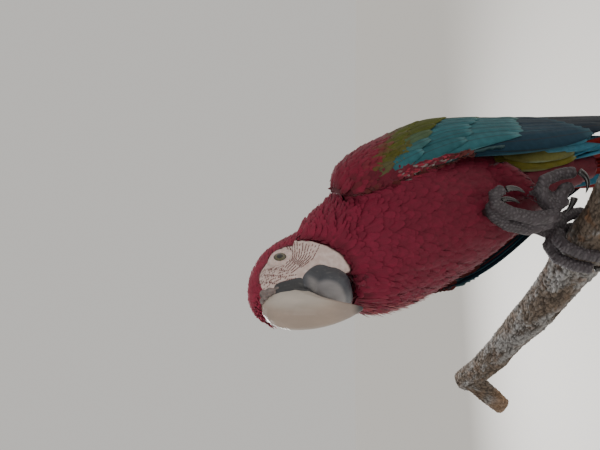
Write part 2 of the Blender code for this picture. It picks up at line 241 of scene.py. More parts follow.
def turned_out(mesh, merge=False):
    """Turns the faces of a closed mesh outwards, with its doubled points merged first."""
    shape = bmesh.new()
    shape.from_mesh(mesh)
    if merge:
        bmesh.ops.remove_doubles(shape, verts=shape.verts, dist=1e-6)
    bmesh.ops.recalc_face_normals(shape, faces=shape.faces)
    shape.to_mesh(mesh)
    shape.free()


def vertex_vectors(mesh, kind):
    flat = np.empty(len(mesh.vertices) * 3)
    mesh.vertices.foreach_get(kind, flat)
    return flat.reshape(-1, 3)


def coordinates(mesh):
    return vertex_vectors(mesh, "co")


def vertex_normals(mesh):
    return vertex_vectors(mesh, "normal")


def move_to(mesh, points):
    mesh.vertices.foreach_set("co", points.ravel())
    mesh.update()


def edge_pairs(mesh):
    flat = np.empty(len(mesh.edges) * 2, int)
    mesh.edges.foreach_get("vertices", flat)
    return flat.reshape(-1, 2)


def relaxed(values, pairs, rounds, strength=0.5):
    """Averages values over neighbouring vertices, a few rounds."""
    values = np.asarray(values, float)
    flat = values.reshape(len(values), -1).copy()
    both = np.concatenate([pairs, pairs[:, ::-1]])
    count = np.maximum(np.bincount(both[:, 0], minlength=len(flat)), 1)
    for _ in range(rounds):
        for column in range(flat.shape[1]):
            total = np.bincount(both[:, 0], flat[both[:, 1], column], minlength=len(flat))
            flat[:, column] += strength * (total / count - flat[:, column])
    return flat.reshape(values.shape)


def colour_points(mesh, name, colours):
    layer = mesh.color_attributes.new(name, "FLOAT_COLOR", "POINT")
    rgba = np.ones((len(mesh.vertices), 4))
    rgba[:, :3] = colours
    layer.data.foreach_set("color", rgba.ravel())


def map_points(mesh, name, places, quads):
    """A map from one place for each point."""
    layer = mesh.uv_layers.new(name=name)
    layer.uv.foreach_set("vector", places[quads.ravel()].astype(np.float32).ravel())


def smooth_faces(mesh):
    mesh.polygons.foreach_set("use_smooth", [True] * len(mesh.polygons))


def mesh_of_quads(name, points, quads, uv_maps, point_colours):
    """A mesh from arrays: points, four-sided faces, maps by corner and colours by point."""
    mesh = bpy.data.meshes.new(name)
    mesh.vertices.add(len(points))
    mesh.vertices.foreach_set("co", np.ascontiguousarray(points, float).ravel())
    mesh.loops.add(quads.size)
    mesh.loops.foreach_set("vertex_index", quads.ravel().astype(np.int32))
    mesh.polygons.add(len(quads))
    mesh.polygons.foreach_set("loop_start", np.arange(0, quads.size, 4, dtype=np.int32))
    for map_name, places in uv_maps.items():
        map_points(mesh, map_name, places, quads)
    mesh.update(calc_edges=True)
    for colour_name, colours in point_colours.items():
        colour_points(mesh, colour_name, colours)
    smooth_faces(mesh)
    return mesh


# ---------------------------------------------------------------- node tools


class Value:
    """A node socket with arithmetic: an expression on values adds its Math nodes."""

    def __init__(self, nodes, socket):
        self.nodes, self.socket = nodes, socket

    def _math(self, operation, *values):
        vectors = any(isinstance(v, Value) and v.socket.type == "VECTOR" for v in values)
        kind = "ShaderNodeVectorMath" if vectors else "ShaderNodeMath"
        return self.nodes.node(kind, {"operation": operation}, list(values))

    def __add__(self, other):
        return self._math("ADD", self, other)

    def __sub__(self, other):
        return self._math("SUBTRACT", self, other)

    def __mul__(self, other):
        return self._math("MULTIPLY", self, other)

    def __rsub__(self, other):
        return self._math("SUBTRACT", other, self)

    __radd__ = __add__
    __rmul__ = __mul__

    def sine(self):
        return self._math("SINE", self)

    def size(self):
        return self._math("ABSOLUTE", self)

    def unit(self):
        return self._math("NORMALIZE", self)

    def cross(self, other):
        return self._math("CROSS_PRODUCT", self, other)

    def within(self, low, high):
        return self._math("MINIMUM", self._math("MAXIMUM", self, low), high)

    def over(self, low, high):
        """0 below low, 1 above high, smooth between."""
        return self.nodes.node("ShaderNodeMapRange", {"interpolation_type": "SMOOTHSTEP"},
                               {"Value": self, "From Min": low, "From Max": high})


class Nodes:
    """A node tree, and one method that adds any node to it."""

    def __init__(self, tree):
        self.tree = tree

    def node(self, kind, settings=None, values=None, output=0):
        node = self.tree.nodes.new(kind)
        for key, value in (settings or {}).items():
            setattr(node, key, value)
        pairs = values.items() if isinstance(values, dict) else enumerate(values or [])
        for key, value in pairs:
            self.put(node.inputs[key], value)
        return Value(self, node.outputs[output])

    def put(self, socket, value):
        if isinstance(value, Value):
            self.tree.links.new(value.socket, socket)
        elif socket.type == "RGBA":
            socket.default_value = (*value, 1)
        elif socket.type == "VECTOR" and np.isscalar(value):
            socket.default_value = (value, value, value)
        else:
            socket.default_value = value

    def parts(self, vector):
        """The x, y and z of a vector."""
        first = self.node("ShaderNodeSeparateXYZ", values=[vector])
        return [Value(self, socket) for socket in first.socket.node.outputs]


class Shader(Nodes):
    """A material with a Principled surface."""

    def __init__(self, name, **surface):
        self.material = bpy.data.materials.new(name)
        self.material.use_nodes = True
        super().__init__(self.material.node_tree)
        self.surface = self.tree.nodes["Principled BSDF"]
        self.set(surface)

    def set(self, sockets):
        for socket, value in sockets.items():
            self.put(self.surface.inputs[socket.replace("_", " ")], value)

    def mix(self, amount, first, second, blend="MIX"):
        return self.node("ShaderNodeMix", {"data_type": "RGBA", "blend_type": blend},
                         {0: amount, 6: first, 7: second}, output=2)

    def toned(self, colour, pattern, low, high):
        """A colour multiplied by one tone where a pattern is 0 and another where it is 1."""
        return self.mix(1.0, colour, self.mix(pattern, low, high), "MULTIPLY")

    def noise(self, scale, detail=3.0, stretch=None):
        place = self.node("ShaderNodeTexCoord", output="Object")
        if stretch:
            place = self.node("ShaderNodeMapping", values={"Vector": place, "Scale": stretch})
        return self.node("ShaderNodeTexNoise",
                         values={"Vector": place, "Scale": scale, "Detail": detail})

    def colour(self, name):
        return self.node("ShaderNodeAttribute", {"attribute_name": name})

    def bump(self, height, distance_mm, strength):
        return self.node("ShaderNodeBump", values={"Strength": strength,
                                                   "Distance": distance_mm * MM,
                                                   "Height": height})

    def finish(self, **links):
        self.set(links)
        return self.material


def grey(level):
    return (level, level, level)


def feather_finish(name, barbs, roughness, sheen, bump_mm, shafts, edge, gloss):
    """Vanes in their own colour, with a rim colour, barbs slanting off a shaft, and painted shade
    towards each vane's root.
    """
    shader = Shader(name, Sheen_Weight=sheen, Sheen_Roughness=0.35, Specular_IOR_Level=gloss)
    across, along, _ = shader.parts(shader.node("ShaderNodeUVMap", {"uv_map": "strand"}))
    side = (across - 0.5).size() * 2
    slant = along * barbs - side * (barbs * 0.22)
    ripple = (slant * (2 * math.pi) + shader.noise(900, 2) * 4).sine()
    rim = shader.mix(side.over(edge, 0.98) * 0.85, shader.colour("tint"), shader.colour("rim"))
    tip = shader.mix(along.over(0.9, 1.0) * 0.55, rim, shader.colour("rim"))
    # Each vane painted darker towards its root: painted shade where it lies under the feathers
    # over it.
    shaded_root = shader.toned(tip, along.over(0.10, 0.55), (0.66, 0.62, 0.62), grey(1))
    patched = shader.toned(shaded_root, shader.noise(160, 4).over(0.35, 0.7), grey(0.88), grey(1.08))
    streaked = shader.toned(patched, ripple.over(-1, 1), grey(0.90), grey(1.07))
    shaft = 1 - side.over(0.0, 0.07)
    drawn = shader.mix(shaft * shafts, streaked, (0.03, 0.02, 0.02))
    return shader.finish(Base_Color=drawn, Roughness=roughness + shader.noise(300) * 0.15,
                         Normal=shader.bump(ripple * 0.5 + shaft * 1.5, bump_mm, 0.6))


SOFT_FEATHER = feather_finish("soft body feathers", 26, 0.60, 0.14, 0.05, 0.10, 0.55, 0.28)
QUILL_FEATHER = feather_finish("wing and tail quills", 90, 0.58, 0.0, 0.06, 0.55, 0.80, 0.08)

# ---------------------------------------------------------------- the skin

WING_ARMS = ["wing_left_shoulder", "wing_left_coverts", "wing_right_shoulder",
             "wing_right_coverts"]
TOES = [f"toe_{foot}_{toe}" for foot in ("left", "right")
        for toe in ("front_outer", "front_inner", "back_outer", "back_inner")]
SHANKS = ["leg_left_shank", "leg_right_shank"]
THIGHS = ["leg_left_thigh", "leg_right_thigh"]
FLESH = ["head", "neck", "breast", "belly", "vent"] + WING_ARMS + THIGHS + SHANKS + TOES
SKIN_VOXEL_MM = 1.2
COAT_DEPTH_MM = {"head": 1.7, "neck": 4.5, "breast": 5.5, "belly": 5.5, "vent": 4.5,
                 "wing": 2.2, "thigh": 3.0, "shank": 0.0, "toe": 0.0}

# The bare face, as forward and up of the middle of the head, in millimetres.
FACE_MM = [(31.5, 2), (31, 9.5), (26.5, 13.2), (21, 14.8), (14, 16.8), (8.6, 15.2), (3.5, 11.6),
           (-4, 11.2), (-9.4, 8), (-11.4, 0.5), (-11.6, -6), (-9.2, -15), (-7.4, -24),
           (-3.4, -32), (0, -38), (4, -44), (8, -49.5), (12, -53), (20, -51), (27, -40),
           (30, -20)]


def inside_outline(forward, up, outline):
    """Signed distance, in millimetres, inside a closed outline; negative outside."""
    corners = np.array(outline, float)
    for _ in range(2):
        after = np.roll(corners, -1, axis=0)
        corners = np.stack([corners * 0.75 + after * 0.25, corners * 0.25 + after * 0.75], axis=1)
        corners = corners.reshape(-1, 2)
    ends = np.roll(corners, -1, axis=0)
    spot = np.stack([forward, up], axis=-1)
    nearest = np.full(len(spot), 1e9)
    crossings = np.zeros(len(spot), int)
    for a, b in zip(corners, ends):
        step = b - a
        t = np.clip(((spot - a) @ step) / (step @ step), 0, 1)
        nearest = np.minimum(nearest, np.linalg.norm(spot - (a + t[:, None] * step), axis=1))
        crosses = (a[1] > spot[:, 1]) != (b[1] > spot[:, 1])
        reach = a[0] + (spot[:, 1] - a[1]) * step[0] / (step[1] if step[1] else 1e-9)
        crossings += crosses & (spot[:, 0] < reach)
    return np.where(crossings % 2 == 1, nearest, -nearest)


def bareness(points, near_head):
    """1 on the bare face, 0 in the feathers."""
    forward, left, up = head_mm(points)
    inside = inside_outline(forward, up, FACE_MM)
    on_side = smooth_step(7, 11, np.abs(left) + 0.25 * np.maximum(forward - 18, 0)
                          - 0.5 * np.maximum(-44 - up, 0))
    return smooth_step(-0.4, 0.6, inside) * on_side * near_head


def kind_of(name):
    for kind in COAT_DEPTH_MM:
        if kind in name:
            return kind
    return name


def tree_of(names):
    """A search tree over CAD nodes, and which node each of its faces is from."""
    corners, faces, owner = [], [], []
    for index, name in enumerate(names):
        mesh = nodes[name].data
        start = len(corners)
        corners.extend(vertex.co.copy() for vertex in mesh.vertices)
        faces.extend([start + v for v in polygon.vertices] for polygon in mesh.polygons)
        owner.extend([index] * len(mesh.polygons))
    return BVHTree.FromPolygons(corners, faces), np.array(owner)


class Skin:
    """The one skin: its mesh, and what the coat needs to know at each vertex."""

    def __init__(self):
        self.mesh = remeshed(FLESH, SKIN_VOXEL_MM, swell_mm=0.3)
        self.pairs = edge_pairs(self.mesh)
        points = coordinates(self.mesh)
        tree, owner = tree_of(FLESH)
        home = [owner[tree.find_nearest(Vector(p))[2]] for p in points]
        self.home = np.array(home)
        self.kind = np.array([kind_of(name) for name in FLESH])[self.home]
        near_head = np.isin(self.kind, ("head", "neck")).astype(float)
        points = relaxed(points, self.pairs, 3)
        forward, _, up = head_mm(points)
        nape = smooth_step(-14, -34, forward) * smooth_step(34, 16, up) * near_head
        nape = relaxed(nape * (points[:, 2] > middle("neck")[2] - 0.01), self.pairs, 8)
        points = points + nape[:, None] * (relaxed(points, self.pairs, 160) - points)
        move_to(self.mesh, points)
        self.bare = bareness(points, near_head)
        depth = np.array([COAT_DEPTH_MM[kind] for kind in self.kind])
        forward, _, up = head_mm(points)
        nape = smooth_step(-15, -45, forward) * near_head
        depth = np.where(self.kind == "head", depth + 1.6 * nape, depth) * (1 - self.bare)
        self.depth = relaxed(depth, self.pairs, 10) * (1 - self.bare)
        points = points - vertex_normals(self.mesh) * (self.depth * MM)[:, None]
        fleshy = (self.depth > 0.5)[:, None]
        points = np.where(fleshy, relaxed(points, self.pairs, 4), points)
        move_to(self.mesh, points)
        smooth_faces(self.mesh)
        self.points = points
        self.normals = relaxed(vertex_normals(self.mesh), self.pairs, 4)
        self.normals = unit(self.normals)
        self.flow = self.lie_of_coat()
        self.index_faces()

    def lie_of_coat(self):
        """Which way feathers point: back and down the head, down the body and the limbs."""
        drop = 0.9 * smooth_step(8, -30, head_mm(self.points)[0])
        head_way = -FORWARD - UP * drop[:, None]
        steps = unit(SPINE[1:] - SPINE[:-1])
        heights = (SPINE[1:, 2] + SPINE[:-1, 2]) / 2
        body_way = np.stack([np.interp(-self.points[:, 2], -heights, steps[:, axis])
                             for axis in range(3)], axis=1)
        way = np.where((self.kind == "head")[:, None], head_way, body_way)
        for side in ("left", "right"):
            thigh = self.home == FLESH.index(f"leg_{side}_thigh")
            way[thigh] = unit(middle(f"leg_{side}_shank") - middle(f"leg_{side}_thigh"))
        for toe in TOES:
            way[self.home == FLESH.index(toe)] = unit(middle(toe.replace("toe", "claw"))
                                                      - middle(toe))
        blended = relaxed(way, self.pairs, 12)
        flat = blended - self.normals * np.sum(blended * self.normals, axis=1)[:, None]
        return unit(relaxed(unit(flat), self.pairs, 6))

    def index_faces(self):
        corners = np.empty(len(self.mesh.loops), int)
        self.mesh.loops.foreach_get("vertex_index", corners)
        self.faces = [tuple(polygon.vertices) for polygon in self.mesh.polygons]
        self.quads = np.array([face if len(face) == 4 else face + face[-1:]
                               for face in self.faces])
        self.tree = BVHTree.FromPolygons([Vector(p) for p in self.points], self.faces)
        self.areas = np.empty(len(self.faces))
        self.mesh.polygons.foreach_get("area", self.areas)
        self.face_flow = unit(self.flow[self.quads].mean(axis=1))
        self.face_normal = unit(self.normals[self.quads].mean(axis=1))
        self.face_depth = self.depth[self.quads].mean(axis=1)
        self.face_home = self.home[self.quads[:, 0]]
        self.face_bare = self.bare[self.quads].mean(axis=1)

    def scatter(self, faces, spacing_mm):
        """Evenly spread random roots on some faces; spacing_mm is one value for each face."""
        spacing = spacing_mm * MM
        wanted = 5 * self.areas[faces] / (0.7 * spacing ** 2)
        counts = np.floor(wanted + luck.random(len(faces))).astype(int)
        picked = np.repeat(np.arange(len(faces)), counts)
        weights = luck.dirichlet((1, 1, 1, 1), len(picked))
        spots = np.einsum("nk,nkc->nc", weights, self.points[self.quads[faces[picked]]])
        tree = kdtree.KDTree(len(spots))
        for index, spot in enumerate(spots):
            tree.insert(spot, index)
        tree.balance()
        alive = np.ones(len(spots), bool)
        kept = []
        for index in luck.permutation(len(spots)):
            if not alive[index]:
                continue
            kept.append(index)
            for _, other, _ in tree.find_range(spots[index], spacing[picked[index]]):
                alive[other] = False
        return spots[kept], faces[picked[kept]]

    def spine(self, root, face, length, lift, heading, steps=3):
        """Points and normals of a shaft walked over the skin along the coat, and its last face."""
        spot, normal = Vector(root), Vector(self.face_normal[face])
        way = Vector(heading)
        points, normals = [], []
        for step in range(steps + 1):
            points.append(np.array(spot) + np.array(normal) * lift(step / steps, face))
            normals.append(np.array(normal))
            if step < steps:
                ahead = spot + way * (length / steps)
                found, _, face, _ = self.tree.find_nearest(ahead)
                spot, normal = found, Vector(self.face_normal[face])
                way = (way * 0.6 + Vector(self.face_flow[face]) * 0.4)
                way = (way - normal * way.dot(normal)).normalized()
        return points, normals, face


skin = Skin()

# ---------------------------------------------------------------- feathers


class Vane:
    """A flat feather blade in its own measures: across -1 to 1, along 0 to 1, height."""

    def __init__(self, segments, notch, barb_slant, camber, point=0.6, waist=0.75):
        """point and waist shape the outline; notch is how deep the split barbs go."""
        self.point, self.waist, self.camber, self.slant = point, waist, camber, barb_slant
        stops = 1 - (1 - np.linspace(0, 1, segments + 1)) ** 1.35
        points, quads = [], []
        if notch:
            points += [(0, stop, 0) for stop in stops]
            for segment in range(segments):
                low, high = stops[segment], stops[segment + 1]
                split = 1 - notch * (0.6 + 0.4 * (segment % 2))
                for side in (1, -1):
                    root = self.half_width(max(low, 0.04)) * split
                    tip = self.half_width(min(high, 0.985))
                    start = len(points)
                    points += [self.barb(side * root, low), self.barb(side * tip, high)]
                    quad = [segment, start, start + 1, segment + 1]
                    quads.append(quad if side == 1 else quad[::-1])
        else:
            columns = (-1, -0.45, 0, 0.45, 1)
            for stop in stops:
                wide = self.half_width(min(max(stop, 0.02), 0.985))
                points += [self.barb(column * wide, stop) for column in columns]
            quads = [(row * 5 + c + 6, row * 5 + c + 5, row * 5 + c, row * 5 + c + 1)
                     for row in range(segments) for c in range(4)]
        self.points = np.array(points)
        self.points[:, 1] = np.minimum(self.points[:, 1], 1.02)
        self.quads = np.array(quads)
        across = np.clip(0.5 + 0.5 * self.points[:, 0], 0, 1)
        self.strand = np.stack([across, np.clip(self.points[:, 1], 0, 1)], axis=1)

    def half_width(self, t):
        return math.sin(math.pi * min(max(t, 0.0), 1.0) ** self.waist) ** self.point

    def barb(self, out, along):
        return out, along + self.slant * abs(out), -self.camber * out ** 2


DEGREE = 4


def vane_tree():
    """Lays one vane along every shaft.

    Each point that comes in is a shaft. It carries polynomials of the way along it, for its
    line, its heading and the normal under it, and its own width, twist, dome and curl.
    """
    tree = bpy.data.node_groups.new("vanes along shafts", "GeometryNodeTree")
    for label, kind in (("Shafts", "Geometry"), ("Vane", "Object"), ("Width Unit", "Float"),
                        ("Patch", "Vector"), ("Finish", "Material")):
        tree.interface.new_socket(label, in_out="INPUT", socket_type="NodeSocket" + kind)
    tree.interface.new_socket("Vanes", in_out="OUTPUT", socket_type="NodeSocketGeometry")
    tools = Nodes(tree)
    given = tree.nodes.new("NodeGroupInput").outputs

    def own(name, kind="FLOAT"):
        return tools.node("GeometryNodeInputNamedAttribute", {"data_type": kind}, {"Name": name})

    vane = tools.node("GeometryNodeObjectInfo", values={"Object": Value(tools, given["Vane"]),
                                                        "As Instance": True},
                      output="Geometry")
    copies = tools.node("GeometryNodeInstanceOnPoints",
                        values={"Points": Value(tools, given["Shafts"]), "Instance": vane})
    laid = tools.node("GeometryNodeRealizeInstances", values={"Geometry": copies})
    across, along, height = tools.parts(tools.node("GeometryNodeInputPosition"))

    def polynomial(name):
        total = own(f"{name} {DEGREE}", "FLOAT_VECTOR")
        for power in reversed(range(DEGREE)):
            total = total * along + own(f"{name} {power}", "FLOAT_VECTOR")
        return total

    heading = polynomial("heading").unit()
    side = heading.cross(polynomial("normal").unit()).unit()
    over = side.cross(heading).unit()
    half = own("width") * Value(tools, given["Width Unit"]) * 0.5
    rise = height * own("dome") + across * own("twist") - across * across * own("curl")
    bent = tools.node("GeometryNodeSetPosition", values={
        "Geometry": laid,
        "Position": polynomial("line") + side * (across * half) + over * (rise * half)})
    spread = (own("strand", "FLOAT_VECTOR") - 0.5) * Value(tools, given["Patch"])
    mapped = tools.node("GeometryNodeStoreNamedAttribute",
                        {"data_type": "FLOAT2", "domain": "CORNER"},
                        {"Geometry": bent, "Name": "OFBake",
                         "Value": (own("root", "FLOAT_VECTOR") + spread).within(0, 1)})
    tools.put(tree.nodes.new("NodeGroupOutput").inputs["Vanes"],
              tools.node("GeometryNodeSetMaterial",
                         values={"Geometry": mapped, "Material": Value(tools, given["Finish"])}))
    return tree


TUFT_PATCH = 0.003
VANE_TREE = vane_tree()
SHAFT_VALUES = ("width", "twist", "dome", "curl")


def stored(mesh, name, kind, values):
    layer = mesh.attributes.new(name, kind, "POINT")
    layer.data.foreach_set("value" if kind == "FLOAT" else "vector",
                           np.ascontiguousarray(values, np.float32).ravel())


def vanes_along(shape, shafts, normals, roots, patch, material, colours, headings=None,
                **values):
    """The mesh of one vane bent along each shaft.

    Each shaft has its points, its normals and its root's place on the map. It can have headings
    other than its own line's, and its own width in mm, twist, dome and curl.
    """
    shafts = np.asarray(shafts)
    if headings is None:
        headings = unit(np.gradient(shafts, axis=1))
    count, knots = shafts.shape[:2]
    mesh = bpy.data.meshes.new("shafts")
    mesh.vertices.add(count)
    fitted = np.linalg.inv(np.vander(np.linspace(0, 1, knots), increasing=True))
    curves = {"line": shafts, "heading": headings, "normal": np.asarray(normals)}
    for name, places in curves.items():
        powers = np.zeros((DEGREE + 1, count, 3))
        powers[:knots] = np.einsum("pk,fkc->pfc", fitted, places)
        for power, rows in enumerate(powers):
            stored(mesh, f"{name} {power}", "FLOAT_VECTOR", rows)
    for name in SHAFT_VALUES:
        usual = 1.0 if name == "dome" else 0.0
        stored(mesh, name, "FLOAT", np.broadcast_to(values.get(name, usual), count))
    stored(mesh, "root", "FLOAT_VECTOR", np.pad(np.asarray(roots), ((0, 0), (0, 1))))
    vane = linked("vane", mesh_of_quads("vane", shape.points, shape.quads,
                                        {"OFBake": shape.strand, "strand": shape.strand}, {}))
    thing = linked("shafts", mesh)
    modifier = thing.modifiers.new("vanes", "NODES")
    modifier.node_group = VANE_TREE
    stated = {"Vane": vane, "Width Unit": MM, "Patch": (*patch, 0.0), "Finish": material}
    for item in VANE_TREE.interface.items_tree:
        if item.name in stated:
            modifier[item.identifier] = stated[item.name]
    result = applied(thing)
    bpy.data.objects.remove(vane)
    for name, rows in colours.items():
        colour_points(result, name, np.repeat(rows, len(shape.points), axis=0))
    spent = [f"{name} {power}" for name in curves for power in range(DEGREE + 1)]
    for name in (*spent, *SHAFT_VALUES, "root"):
        result.attributes.remove(result.attributes[name])
    smooth_faces(result)
    return result


def unwrapped(points, homes):
    """Places on an unwrap of the skin: a turn about the body's own line, and the way down it.

    Trunk and head share the left of the map; each wing and thigh has a strip of its own.
    """
    points = np.atleast_2d(points)
    homes = np.atleast_1d(homes)
    names = np.array(FLESH)[homes]
    centre_y = np.interp(-points[:, 2], -SPINE[:, 2], SPINE[:, 1])
    centre_x = np.interp(-points[:, 2], -SPINE[:, 2], SPINE[:, 0])
    turn = np.arctan2(points[:, 0] - centre_x, points[:, 1] - centre_y) / (2 * math.pi) + 0.5
    top, bottom = cad_box[1][2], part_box("vent")[0][2]
    down = (top - points[:, 2]) / (top - bottom)
    places = np.stack([0.02 + 0.54 * turn, 0.98 - 0.96 * down], axis=1)
    # The left edge of each limb's strip, its width, its bottom and its height.
    strips = {"wing_left": (0.58, 0.13, 0.02, 0.96), "wing_right": (0.72, 0.13, 0.02, 0.96),
              "leg_left": (0.87, 0.05, 0.52, 0.46), "leg_right": (0.93, 0.05, 0.52, 0.46),
              "toe_left": (0.87, 0.05, 0.02, 0.46), "toe_right": (0.93, 0.05, 0.02, 0.46)}
    for prefix, (start, wide, base, tall) in strips.items():
        own = np.char.startswith(names, prefix)
        if not own.any():
            continue
        boxes = np.array([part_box(name) for name in FLESH if name.startswith(prefix)])
        low, high = boxes[:, 0].min(axis=0), boxes[:, 1].max(axis=0)
        share = (points[own] - low) / (high - low)
        outward = share[:, 0] if prefix.endswith("left") else 1 - share[:, 0]
        across = share[:, 1] * 0.6 + (1 - outward) * 0.4
        places[own] = np.stack([start + wide * np.clip(across, 0, 1),
                                base + tall * share[:, 2]], axis=1)
    return np.clip(places, 0.002, 0.998)


def plumage(points, kinds):
    """The bird's colours by place, for skin and feathers alike; the reds darken down the body,
    partly as painted shade.
    """
    height = points[:, 2]
    levels = [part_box("vent")[0][2], middle("vent")[2], middle("belly")[2],
              middle("breast")[2], middle("neck")[2], cad_box[1][2]]
    # Reds by height, darker from crown to vent: partly the bird's own colour, partly painted shade
    # of the lower body.
    reds = np.array([VENT_RED, VENT_RED, BELLY_RED, BREAST_RED, NECK_RED, CROWN_RED])
    colour = np.stack([np.interp(height, levels, red) for red in reds.T], axis=1)
    behind = points[:, 1] - np.interp(-height, -SPINE[:, 2], SPINE[:, 1])
    rump = smooth_step(0.56, 0.50, height) * smooth_step(0.005, 0.02, behind)
    colour = blended(colour, SKY, rump * np.isin(kinds, ("belly", "vent")))
    down = (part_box("wing_left_shoulder")[1][2] - height) / MM
    wing = blended(WING_RED, OLIVE, smooth_step(34, 56, down + 0.25 * behind / MM))
    wing = blended(wing, TEAL, smooth_step(78, 100, down))
    return np.where((kinds == "wing")[:, None], wing, colour)


class Feathers:
    """Feathers gathered one by one, then laid along their shafts as one mesh."""

    def __init__(self, name, material, slot):
        self.name, self.material, self.slot = name, material, slot
        self.shafts, self.normals, self.widths = [], [], []
        self.tints, self.rims, self.twists = [], [], []

    def keep(self, shaft, width_mm, tint, rim, twist):
        self.shafts.append(shaft[0])
        self.normals.append(shaft[1])
        self.widths.append(width_mm)
        self.tints.append(tint)
        self.rims.append(rim)
        self.twists.append(twist)

    def mesh(self, vane, places, patch):
        return vanes_along(vane, self.shafts, self.normals, places, patch, self.material,
                           {"tint": self.tints, "rim": self.rims},
                           width=self.widths, twist=self.twists)


class Coat(Feathers):
    """Feathers of one size range, spread over chosen faces of the skin."""

    def __init__(self, name, slot="red feathers"):
        super().__init__(name, SOFT_FEATHER, slot)
        self.roots, self.homes = [], []

    def grow(self, faces, spacing_mm, length_mm, width_mm, ruffle=0.0, colour=None):
        """Sizes are one value, or one for each face."""
        spacing, length, width, ruffle = (np.broadcast_to(np.asarray(size, float), len(faces))
                                          for size in (spacing_mm, length_mm, width_mm, ruffle))
        roots, found = skin.scatter(faces, spacing)
        rows = np.searchsorted(faces, found)
        tints = plumage(roots, FACE_KIND[found]) if colour is None else colour(roots, found)
        for root, face, row, tint in zip(roots, found, rows, tints):
            grown = 0.85 + 0.3 * luck.random()
            loose = ruffle[row] * luck.random()
            top = skin.face_depth[face] * (0.85 + 0.3 * luck.random())

            def lift(t, place, top=top, loose=loose):
                depth = min(top, skin.face_depth[place] * 1.15)
                return (0.50 * depth + 0.50 * depth * t ** 0.8 + loose * t * t) * MM

            way = skin.face_flow[face] + luck.normal(0, 0.10, 3)
            self.add(root, face, length[row] * grown, width[row] * grown, lift, way,
                     tint * (0.92 + 0.16 * luck.random()), 1.10)

    def add(self, root, face, length_mm, width_mm, lift, way, tint, rim_gain):
        points, normals, last = skin.spine(root, face, length_mm * MM, lift, way)
        if LIMB[last] != LIMB[face]:
            return
        self.keep((points, normals), width_mm, tint, tint * rim_gain + 0.002,
                  luck.normal(0, 0.08))
        self.roots.append(root)
        self.homes.append(skin.face_home[face])

    def add_straight(self, root, face, way, length_mm, width_mm, rise_mm, tint):
        """A loose feather that leaves the skin instead of following it."""
        normal = skin.face_normal[face]
        start = root + normal * 0.3 * rise_mm * MM
        steps = np.linspace(0, 1, 4)[:, None]
        points = start + way * steps * length_mm * MM + normal * np.sin(steps * 2) * rise_mm * MM
        tint = np.array(tint) * (0.85 + 0.3 * luck.random())
        self.keep((points, np.tile(normal, (4, 1))), width_mm, tint, tint * 1.15,
                  luck.normal(0, 0.2))
        self.roots.append(root)
        self.homes.append(skin.face_home[face])

    def piece(self, vane):
        mesh = self.mesh(vane, unwrapped(self.roots, self.homes), (TUFT_PATCH, TUFT_PATCH))
        finish(shown(self.name, mesh, self.material), self.slot)


FACE_KIND = skin.kind[skin.quads[:, 0]]
LIMB = np.where(FACE_KIND == "wing", 1, np.where(FACE_KIND == "toe", 2, 0))
CENTRE = skin.points[skin.quads].mean(axis=1)
FEATHERED = skin.face_bare < 0.5

TINY_VANE = Vane(4, 0.14, 0.08, 0.25)
SOFT_VANE = Vane(6, 0.10, 0.10, 0.30, point=0.5)
WISP_VANE = Vane(6, 0.40, 0.20, 0.30)


def head_coat():
    on_head = np.flatnonzero((FACE_KIND == "head") & FEATHERED)
    forward, left, up = head_mm(CENTRE[on_head])
    back = smooth_step(12, -42, forward)
    rim = smooth_step(-9, -1, inside_outline(forward, up, FACE_MM))
    size = (1 + 1.5 * back) * (1 - 0.35 * rim)
    coat = Coat("head_feathers")
    nape = smooth_step(-20, -45, forward) * smooth_step(-20, 5, up)
    coat.grow(on_head, 1.25 * size, 5.0 * size, 2.3 * size, ruffle=0.6 + 2.4 * nape)
    brow = on_head[(forward > 24) & (up > np.where(left < -5, -4, 3)) & (left > -18)
                   & ((left < 7) | ((up > 14) & (left < 14)))]
    roots, found = skin.scatter(brow, np.full(len(brow), 1.0))
    for root, face in zip(roots, found):
        ahead, beside, _ = head_mm(root)
        far = float(smooth_step(4, -8, beside))
        normal = skin.face_normal[face]
        down = FORWARD * 0.45 - UP * 0.9 + luck.normal(0, 0.12, 3)
        way = unit(down - normal * (down @ normal)) + normal * (0.10 + 0.25 * far)
        reach = (2.4 + 2.8 * far) * (0.45 + 0.55 * float(smooth_step(24, 29, ahead)))
        # Brow feathers, the far ones most, painted pinker and lighter than the crown: painted
        # light shining through them.
        coat.add_straight(root, face, unit(way), reach * (0.8 + 0.4 * luck.random()), 1.9,
                          0.5 + 0.5 * luck.random(),
                          mixed(CROWN_RED, BROW_LIT_PINK, 0.3 + 0.7 * far))
    coat.piece(TINY_VANE)


def body_coat(kind, spacing, length, width, ruffle):
    coat = Coat(f"{kind}_feathers")
    coat.grow(np.flatnonzero((FACE_KIND == kind) & FEATHERED), spacing, length, width, ruffle)
    coat.piece(SOFT_VANE)


def chin_feathers():
    """Soft feathers that close the throat under the lower bill; their dark red is partly the
    bird's own and partly painted shade under the bill.
    """
    forward, left, up = head_mm(CENTRE)
    chosen = (forward > 7) & (forward < 34) & (up < -44) & (up > -58) & (np.abs(left) < 11)
    chosen &= np.isin(FACE_KIND, ("head", "neck", "breast")) & FEATHERED
    coat = Coat("chin_feathers")
    roots, found = skin.scatter(np.flatnonzero(chosen), np.full(chosen.sum(), 1.8))
    for root, face in zip(roots, found):
        way = skin.face_flow[face] * 0.8 + skin.face_normal[face] * 0.15 + luck.normal(0, 0.10, 3)
        coat.add_straight(root, face, unit(way), 6 + 3 * luck.random(), 4.5,
                          2.0 + 1.5 * luck.random(), CHIN_SHADED_RED)
    coat.piece(TINY_VANE)


